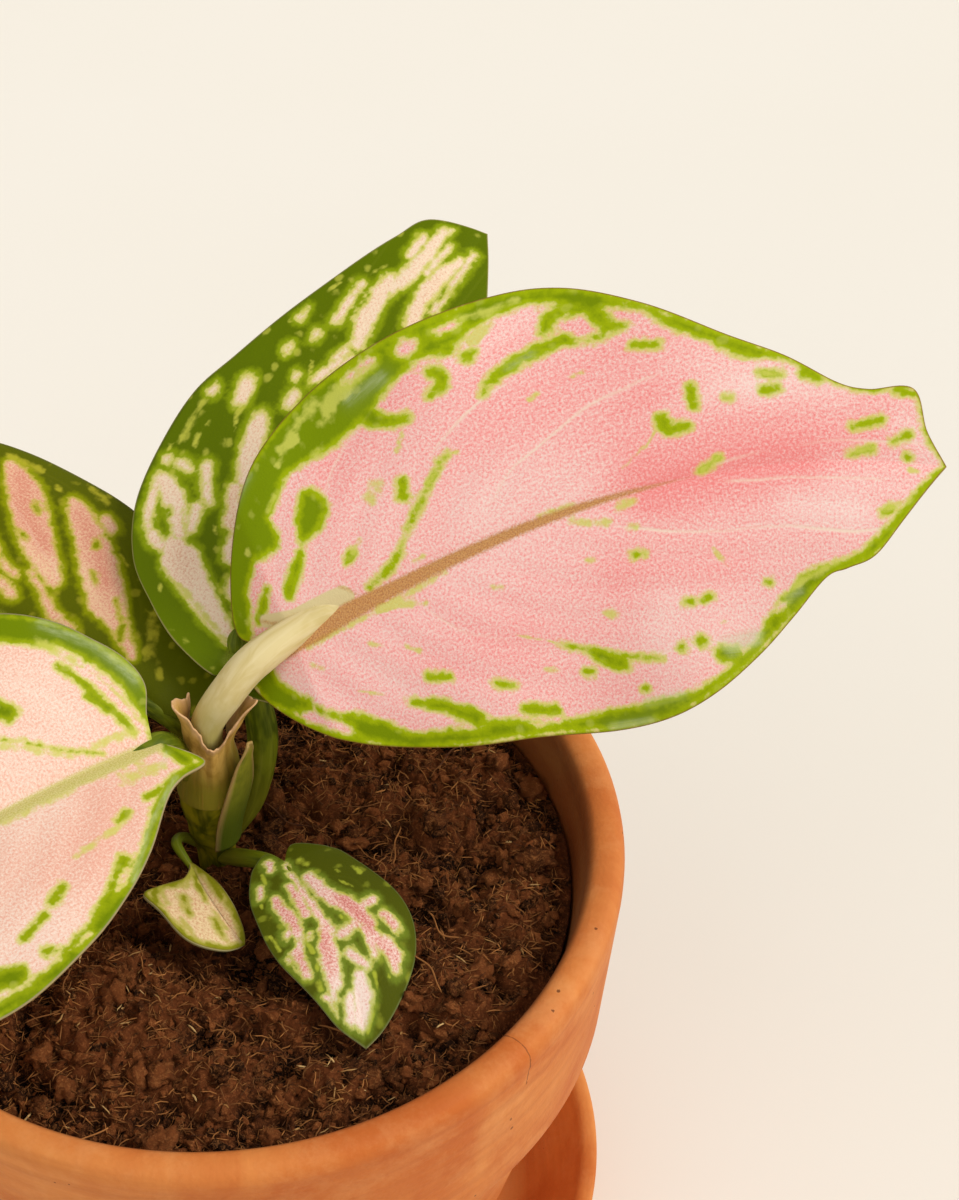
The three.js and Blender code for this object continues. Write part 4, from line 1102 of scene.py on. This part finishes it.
def surface_of(add, base, layers, gloss, relief=None, specular=0.5, ior=1.45):
    """The shader: colours laid over a base, each where its share says, a roughness that a pattern
    takes from one value to another, and a bump from a pattern and its height in mm."""
    colour = paint(base)
    for share, over in layers:
        over = paint(over) if isinstance(over, str) else over
        colour = add("Mix", {"Factor": share, "A": colour, "B": over}, data_type="RGBA")
    pattern, low, high = gloss
    rough = add("MapRange", {"Value": pattern, "To Min": low, "To Max": high})
    inputs = {"Base Color": colour, "Roughness": rough, "IOR": ior, "Specular IOR Level": specular}
    if relief:
        inputs["Normal"] = add("Bump", {"Height": relief[0], "Distance": relief[1] * METRES, "Strength": 1.0})
    shader = add("BsdfPrincipled", inputs)
    add("OutputMaterial", {"Surface": shader})
    return shader.node


def leaf_skin(name, colours, speckle, sheen, under=False):
    """Living leaf with a waxy cuticle: pink and cream cells seen through a clear skin, with fine
    grain, and green islands with yellow-green edges. It reads the blade's own facts, in mm."""
    cream, pink, coral, lime, green, deep, rib, rib_dots, edge = colours.split()
    skin, add = new_skin(name)
    vein, flat = (add("Attribute", out="Vector", attribute_name=fact) for fact in ("vein", "flat"))
    own = {fact: add("Attribute", out="Fac", attribute_name=fact) for fact in LEAF_FACTS}
    along_vein = add("VectorMath", {0: vein, 1: (1, 0.4, 1)}, **MULTIPLY)
    # patterns, each with its scale per mm: blots of 2 mm, nibbled edges of 1 mm, grain of 0.4 mm
    blot, nibble, grain, dotted, wander, streak, cloud = (
        add("TexNoise", {"Vector": place, "Scale": scale, "Detail": detail, "Roughness": rough})
        for place, scale, detail, rough in (
            (flat, 0.5, 3, 0.5), (flat, 1.1, 2, 0.5), (flat, 2.3, 2, 0.8), (flat, 3.6, 2, 0.5),
            (flat, 0.09, 1, 0.5), (along_vein, 0.9, 4, 0.65), (along_vein, 0.13, 3, 0.5)))
    # how deep in the green a point lies, with the soft uneven outline of real islands
    depth = own["green"]
    for pattern, weight in ((blot, 1.6), (nibble, 0.9)):
        depth = add("Math", {0: pattern, 1: weight, 2: depth}, **MULTIPLY_ADD)
    depth = add("Math", {0: depth, 1: 1.3}, operation="SUBTRACT")
    in_green, near_green, in_deep = (
        add("MapRange", {"Value": depth, "From Min": low, "From Max": high, "To Max": most}, **SOFT)
        for low, high, most in ((-0.25, 0.25, 1), (-1.05, -0.1, 0.85), (0.15, 1.5, 1)))
    # pink skin goes from cream to pink to coral, with grain and soft streaks along the veins
    warmth = own["coral"]
    for pattern, weight in ((cloud, 1.1), (grain, 7), (streak, 0.5)):
        warmth = add("Math", {0: pattern, 1: weight, 2: warmth}, **MULTIPLY_ADD)
    warmth = add("Math", {0: warmth, 1: own["cream"]}, operation="SUBTRACT")
    to_pink, to_coral = (
        add("MapRange", {"Value": warmth, "From Min": low, "From Max": high})
        for low, high in ((2.9, 4.6), (4.3, 5.9)))
    # side veins as thin pale lines, which show here and there
    start = add("SeparateXYZ", {"Vector": vein})
    line = add("Math", {0: wander, 1: 4, 2: start}, **MULTIPLY_ADD)
    for way, amount in (("SUBTRACT", VEIN_FIRST + 2), ("PINGPONG", VEIN_SPACING), ("DIVIDE", own["crowd"])):
        line = add("Math", {0: line, 1: amount}, operation=way)
    line = add("MapRange", {
        "Value": line, "From Min": 0.05, "From Max": 0.42, "To Min": 0.85, "To Max": 0}, **SOFT)
    veins = add("Math", {0: line, 1: own["nerve"]}, use_clamp=True, **MULTIPLY)
    # yellow-green where the pink thins out, then the green itself with its dabs and faint veins
    haze = add("Math", {0: blot, 1: 1.6, 2: own["lime"]}, **MULTIPLY_ADD)
    thin = add("MapRange", {"Value": haze, "From Min": 1.25, "From Max": 1.9, "To Max": 0.8}, **SOFT)
    haze = add("Math", {0: thin, 1: near_green}, operation="MAXIMUM")
    dabs = add("TexVoronoi", {"Vector": flat, "Scale": 0.3, "Randomness": 1.0})
    dabs = add("Math", {0: blot, 1: -0.6, 2: dabs}, **MULTIPLY_ADD)
    dabs = add("MapRange", {
        "Value": dabs, "From Min": -0.2, "From Max": 0, "To Min": speckle, "To Max": 0}, **SOFT)
    dabs = add("Math", {0: dabs, 1: thin}, operation="MAXIMUM")
    faint = add("Math", {0: veins, 1: 0.3}, **MULTIPLY)
    leafy = paint(green)
    for share, over in ((in_deep, deep), (dabs, lime), (faint, lime)):
        leafy = add("Mix", {"Factor": share, "A": leafy, "B": paint(over)}, data_type="RGBA")
    # painted highlight: a pale grey-green laid where the light glints off the wax, along the leaf's sheen
    # strokes, which also raise the real gloss below
    painted_sheen = add("Math", {0: streak, 1: own["bloom"]}, **MULTIPLY)
    painted_sheen = add("MapRange", {"Value": painted_sheen, "From Min": 0.2, "From Max": 0.8, "To Max": 0.5}, **SOFT)
    # the pale base, the midrib's band with its fine brown dots, and the thin line round the edge
    pale = add("MapRange", {"Value": own["ivory"], "From Min": 0.35, "From Max": 0.6}, **SOFT)
    dotted = add("MapRange", {"Value": dotted, "From Min": 0.4, "From Max": 0.64})
    band = add("Mix", {"Factor": dotted, "A": paint(rib), "B": paint(rib_dots)}, data_type="RGBA")
    on_rib = add("Math", {0: grain, 1: 0.8, 2: own["rib"]}, **MULTIPLY_ADD)
    on_rib = add("MapRange", {"Value": on_rib, "From Min": 0.2, "From Max": 1.1, "To Max": 0.92}, **SOFT)
    rim = add("MapRange", {
        "Value": own["border"], "From Min": 0.03, "From Max": 0.28, "To Min": 0.75, "To Max": 0}, **SOFT)
    layers = [
        (to_pink, pink), (to_coral, coral), (veins, "#f6dfc9"), (haze, lime), (in_green, leafy),
        (painted_sheen, "#c6cf9e"), (pale, "#e2d09c"), (on_rib, band), (rim, edge),
    ]
    if under:
        layers.append((0.5, "#bdb27e"))
    relief = add("Math", {0: veins, 1: -0.7, 2: grain}, **MULTIPLY_ADD)
    shader = surface_of(add, cream, layers, (streak, sheen, sheen + 0.2), (relief, 0.07), LEAF_SHINE)
    shine = add("Math", {0: own["bloom"], 1: 0.4, 2: LEAF_SHINE}, **MULTIPLY_ADD)
    skin.node_tree.links.new(shine, shader.inputs["Specular IOR Level"])
    return skin


def stalk_skin(name, light, dark, streak, low, sheen):
    """Smooth petiole or stem skin: long soft streaks from its fibres, and a waxy sheen."""
    skin, add = new_skin(name)
    flat = add("Attribute", out="Vector", attribute_name="flat")
    share = add("Attribute", out="Fac", attribute_name="share")
    drawn, drift = (add("VectorMath", {0: flat, 1: (1, 1, length)}, **MULTIPLY) for length in (0.07, 0.35))
    streaks = add("TexNoise", {"Vector": drawn, "Scale": 1.0, "Detail": 4.0})
    patches = add("TexNoise", {"Vector": drift, "Scale": 0.3, "Detail": 3.0, "Distortion": 0.8})
    patches = add("MapRange", {"Value": patches, "From Min": 0.4, "From Max": 0.6}, **SOFT)
    lined = add("MapRange", {"Value": streaks, "From Min": 0.5, "From Max": 0.75, "To Max": 0.6})
    foot = add("MapRange", {
        "Value": share, "From Min": 0.08, "From Max": 0.3, "To Min": 0.7, "To Max": 0}, **SOFT)
    layers = [(patches, dark), (lined, streak), (foot, low)]
    surface_of(add, light, layers, (streaks, sheen, sheen + 0.2), (streaks, 0.12), specular=0.14)
    return skin


def paper_skin(name, low, light, dark, edge):
    """Dry sheath: thin papery skin with fibres along it, green still at its foot, and brown,
    brittle edges."""
    skin, add = new_skin(name)
    flat = add("Attribute", out="Vector", attribute_name="flat")
    share, side = (add("Attribute", out="Fac", attribute_name=fact) for fact in ("share", "round"))
    drawn = add("VectorMath", {0: flat, 1: (1, 1, 0.1)}, **MULTIPLY)
    fibres, stains = (
        add("TexNoise", {"Vector": place, "Scale": scale, "Detail": 4.0})
        for place, scale in ((drawn, 1.8), (flat, 0.3)))
    foot = add("Math", {0: stains, 1: 0.5, 2: share}, **MULTIPLY_ADD)
    foot = add("MapRange", {
        "Value": foot, "From Min": 0.45, "From Max": 1.05, "To Min": 0.95, "To Max": 0}, **SOFT)
    mixed, top, side, thread = (
        add("MapRange", {"Value": value, "From Min": low, "From Max": high, "To Max": most})
        for value, low, high, most in (
            (stains, 0.4, 0.62, 1), (share, 0.88, 1, 0.8), (side, 0.7, 1, 0.8), (fibres, 0.55, 0.75, 0.5)))
    worn = add("Math", {0: top, 1: side}, operation="MAXIMUM")
    layers = [(mixed, dark), (foot, low), (worn, edge), (thread, dark)]
    surface_of(add, light, layers, (fibres, 0.55, 0.75), (fibres, 0.15), specular=0.3)
    return skin


def terracotta_skin(name):
    """Unglazed earthenware, turned and fired: mottled orange clay with a chalky bloom, faint
    turning lines and dark specks of grit."""
    skin, add = new_skin(name)
    place = add("TexCoord", out="Object")
    across, upward = (add("SeparateXYZ", {"Vector": place}, out=way) for way in "XZ")
    flattened = add("VectorMath", {0: place, 1: (0.05, 0.05, 1)}, **MULTIPLY)
    mottle, bloom, grit, turning = (
        add("TexNoise", {
            "Vector": where, "Scale": 1 / (width * METRES), "Detail": detail, "Roughness": rough,
            "Distortion": twist})
        for where, width, detail, rough, twist in (
            (place, 30, 7, 0.6, 0.6), (place, 11, 8, 0.72, 0), (place, 0.9, 3, 0.5, 0),
            (flattened, 2.2, 3, 0.5, 0)))
    clay, chalk, ring, few = (
        add("MapRange", {"Value": pattern, "From Min": low, "From Max": high, "To Max": most})
        for pattern, low, high, most in (
            (mottle, 0.36, 0.64, 1), (bloom, 0.48, 0.78, 0.5), (turning, 0.4, 0.7, 0.25),
            (bloom, 0.45, 0.75, 0.17)))
    specks = add("TexVoronoi", {"Vector": place, "Scale": 1 / (4 * METRES), "Randomness": 1.0})
    specks = add("Math", {0: specks, 1: few}, operation="LESS_THAN")
    specks = add("Math", {0: specks, 1: 0.75}, **MULTIPLY)
    # painted shade: the wall inside the rim is painted dark, as the shade the rim casts on it
    radius = add("VectorMath", {0: place, 1: (1, 1, 0)}, **MULTIPLY)
    radius = add("VectorMath", {0: radius}, operation="LENGTH")
    inner = add("MapRange", {
        "Value": radius, "From Min": (RIM_INSIDE + 0.2) * METRES, "From Max": (RIM_INSIDE + 1.6) * METRES,
        "To Min": 0.6, "To Max": 0}, **SOFT)
    # a hairline crack down from the lip, which wanders with the mottling
    crack = add("VectorMath", {0: place, 1: CRACK_SIDE}, operation="DOT_PRODUCT")
    crack = add("Math", {0: mottle, 1: 2 * CRACK_WANDER * METRES, 2: crack}, **MULTIPLY_ADD)
    crack = add("Math", {0: crack, 1: CRACK_WANDER * METRES, 2: CRACK_WIDTH * METRES}, operation="COMPARE")
    shade_height, crack_top, crack_side = (
        add("Math", {0: way, 1: level * METRES}, operation="GREATER_THAN")
        for way, level in ((upward, POT_TOP - WALL_SHADE_DEPTH), (upward, POT_TOP - CRACK_LENGTH), (across, 0)))
    # painted shade: only the top of the inside wall, below the rim, is darkened
    wall_shade = add("Math", {0: inner, 1: shade_height}, **MULTIPLY)
    for share in (crack_top, crack_side, 0.6):
        crack = add("Math", {0: crack, 1: share}, **MULTIPLY)
    layers = [
        (clay, "#dc8c48"), (chalk, "#e6a468"), (ring, "#a34d22"), (specks, "#4f2410"),
        # the dark brown here is painted shade
        (wall_shade, "#431a08"), (crack, "#5a2a12"),
    ]
    tooth = add("Math", {0: turning, 1: 0.8, 2: grit}, **MULTIPLY_ADD)
    surface_of(add, "#c2662a", layers, (bloom, 0.5, 0.85), (tooth, 0.12), specular=0.18, ior=1.5)
    return skin


def soil_skin(name, dark, mid, light, width):
    """Damp peat and coir: dark crumbs with reddish fibre, matt, with no sheen."""
    skin, add = new_skin(name)
    place = add("TexCoord", out="Object")
    shade = add("Attribute", out="Fac", attribute_name="shade")
    coarse, fine = (
        add("TexNoise", {
            "Vector": place, "Scale": 1 / (wide * METRES), "Detail": detail, "Roughness": rough,
            "Distortion": twist})
        for wide, detail, rough, twist in ((width, 6, 0.65, 0), (0.9, 5, 0.75, 1.5)))
    # on the bed the shade fact is painted shade, darker in the hollows; on the crumbs it is each one's own
    # tone
    tone = add("Math", {0: shade, 1: 0.6, 2: coarse}, **MULTIPLY_ADD)
    tone = add("MapRange", {"Value": tone, "From Min": 0.55, "From Max": 0.95})
    lit = add("MapRange", {"Value": fine, "From Min": 0.5, "From Max": 0.72, "To Max": 0.8})
    surface_of(add, dark, [(tone, mid), (lit, light)], (fine, 0.85, 1), (fine, 0.6), specular=0.1)
    return skin


def fibre_skin(name, dark, light):
    """Coir fibre: dry, brown, paler where it has frayed."""
    skin, add = new_skin(name)
    shade = add("Attribute", out="Fac", attribute_name="shade")
    place = add("TexCoord", out="Object")
    tone = add("TexNoise", {"Vector": place, "Scale": 1 / (3 * METRES), "Detail": 3.0})
    tone = add("Math", {0: shade, 1: tone}, operation="ADD")
    share = add("MapRange", {"Value": tone, "From Min": 0.5, "From Max": 1.5})
    surface_of(add, dark, [(share, light)], (tone, 0.7, 0.9), specular=0.2)
    return skin


def floor_skin(name):
    """Matt cream paper, as a studio's backdrop."""
    skin, add = new_skin(name)
    tooth = add("TexNoise", {"Vector": add("TexCoord", out="Object"), "Scale": 6.0, "Detail": 3.0})
    surface_of(add, "#f0ebe2", [(tooth, "#ede7db")], (tooth, 0.9, 1))
    return skin


# Build

camera = bpy.data.objects.new("camera", bpy.data.cameras.new("camera"))
camera.data.lens = CAMERA_LENS
camera.data.clip_start = 0.01
camera.location = [c * METRES for c in CAMERA_PLACE]
camera.rotation_euler = (math.radians(90 - CAMERA_DOWN), 0, 0)
bpy.context.scene.collection.objects.link(camera)
bpy.context.scene.camera = camera

terracotta = terracotta_skin("fired_terracotta")
make_saucer(terracotta)
make_pot(terracotta)

peat = soil_skin("damp_peat", "#180a03", "#66361a", "#aa683a", width=8)
crumb = soil_skin("peat_crumb", "#241106", "#7a4422", "#b87844", width=4)
coir = fibre_skin("coir_fibre", "#42220f", "#b0743e")
straw = fibre_skin("pale_straw", "#94632f", "#dcb476")
make_soil(peat)
make_crumbs("soil_crumbs_small", crumb, count=5200, sizes=(0.3, 1.1), rounds=1, seed=3)
make_crumbs("soil_crumbs_large", crumb, count=420, sizes=(0.9, 2.6), rounds=3, seed=4)
make_fibres("coir_fibres", coir, count=7000, lengths=(1, 4.5), widths=(0.1, 0.26), seed=5, lift=0.5,
            bends=0.6)
make_fibres("straw_flecks", straw, count=150, lengths=(1, 3.6), widths=(0.2, 0.45), seed=6, lift=0.7,
            bends=0.3, groups=STRAW_GROUPS)
make_fibres("long_strands", coir, count=40, lengths=(6, 13), widths=(0.2, 0.38), seed=8, lift=1,
            bends=0.8, steps=14, sides=5)

# The colours of a leaf are its cream, pink, coral, lime, green and deep green, then its midrib, the
# midrib's dots and its edge. The numbers are how strong the dabs are, and its lowest roughness.
pink_top = leaf_skin(
    "pink_leaf_top", "#fce2d8 #fbbcb6 #f68a88 #d0d25c #a2b404 #7a9000 #d09c56 #b0743c #8a4a34",
    0.3, 0.36)
pink_under = leaf_skin(
    "pink_leaf_under", "#e6c8b2 #dfaf9b #d6988a #bcc06a #97a544 #7f9036 #cfb684 #bd9a68 #9c6a50",
    0.3, 0.5, under=True)
pale_top = leaf_skin(
    "pale_pink_leaf_top", "#f3dccb #ecbca6 #e2a08c #c9c85a #94a20a #6c8000 #d2c884 #bcb25c #a8907c",
    0.3, 0.36)
green_top = leaf_skin(
    "green_leaf_top", "#f5e2c6 #f0d0b2 #dca284 #c6c64a #8a9c0c #5c6e00 #7c8c24 #6c701c #a89c60",
    0.55, 0.34)
# painted shade: this leaf's greens are duller and olive, for the warm shade it sits in; its pinks and corals
# are its own
shaded_striped_top = leaf_skin(
    "shaded_striped_leaf_top", "#eaca9e #e3ab8e #d2856e #b4ac2c #888e00 #585e00 #7c8424 #6c6c1c #908850",
    0.4, 0.36)
green_under = leaf_skin(
    "green_leaf_under", "#d2c99a #c9af88 #c09a78 #a9b060 #7f903a #667a30 #a8ad68 #989c54 #a89c6c",
    0.3, 0.5, under=True)
small_top = leaf_skin(
    "small_leaf_top", "#f2dccf #dfa496 #c46460 #b0b838 #6c7c20 #4c5208 #b4ac60 #a49c50 #6c7440",
    0.35, 0.34)
curled_top = leaf_skin(
    "withered_leaf_top", "#ecd6a6 #e0bc90 #c98c68 #b2aa44 #8a8a18 #5c6010 #a09a44 #8c7c30 #7c6c2c",
    0.4, 0.45)
cream_stalk = stalk_skin("cream_petiole", "#e0ce98", "#d6c284", "#ead9aa", "#aca650", sheen=0.38)
green_stalk = stalk_skin("green_petiole", "#758014", "#4e5c08", "#9aa034", "#7c761c", sheen=0.36)
olive_stem = stalk_skin("olive_stem", "#8c8410", "#484c04", "#aa9a28", "#3e3404", sheen=0.36)

for name, top, under, stalk, slot in (
    ("leaf_right", pink_top, pink_under, cream_stalk, "leaf_pink"),
    ("leaf_back", green_top, green_under, green_stalk, "leaf_green"),
    ("leaf_back_left", shaded_striped_top, green_under, green_stalk, "leaf_green"),
    ("leaf_front_left", pale_top, pink_under, green_stalk, "leaf_pink"),
    ("leaf_small", small_top, green_under, green_stalk, "leaf_green"),
    ("leaf_curled", curled_top, green_under, green_stalk, "leaf_green"),
):
    make_leaf(name, LEAVES[name], top, under, stalk)

bm = laid(stalk_surface(STEM_AXIS, STEM_RADII, ridges=5, ridge=0.03), 80, 48, closed=True)
finish_piece(bm, "stem_body", [olive_stem], ["stem"])
hood = paper_skin("green_sheath_tip", "#56640c", "#8e8c20", "#6a6c12", "#b8945c")
tip = finish_piece(laid(tip_surface, 60, 30), "stem_sheath_tip", [hood, hood], ["stem"])
thicken(tip, TIP_THICKNESS)
tan = paper_skin("tan_paper_sheath", "#857c16", "#d2a654", "#a47c30", "#dcb084")
sheath = finish_piece(laid(sheath_surface, 60, 130), "paper_sheath", [tan, tan], ["sheath"])
thicken(sheath, SHEATH_THICKNESS)

# Floor and soft light
bm = bmesh.new()
bmesh.ops.create_grid(bm, x_segments=1, y_segments=1, size=4)
floor_mesh = bpy.data.meshes.new("floor")
bm.to_mesh(floor_mesh)
bm.free()
floor_mesh.materials.append(floor_skin("cream_paper"))
floor = bpy.data.objects.new("floor", floor_mesh)
bpy.context.scene.collection.objects.link(floor)

for name, direction, spread, power, colour in LIGHTS:
    lamp = bpy.data.lights.new(name, "SUN")
    lamp.angle = math.radians(spread)
    lamp.energy = power
    lamp.color = colour
    light = bpy.data.objects.new(name, lamp)
    light.rotation_euler = Vector(direction).to_track_quat("Z", "Y").to_euler()
    bpy.context.scene.collection.objects.link(light)

world = bpy.data.worlds.new("studio")
world.use_nodes = True
world.node_tree.nodes["Background"].inputs["Color"].default_value = SKY_COLOUR
world.node_tree.nodes["Background"].inputs["Strength"].default_value = SKY_POWER
bpy.context.scene.world = world
bpy.context.scene.view_settings.view_transform = "Standard"
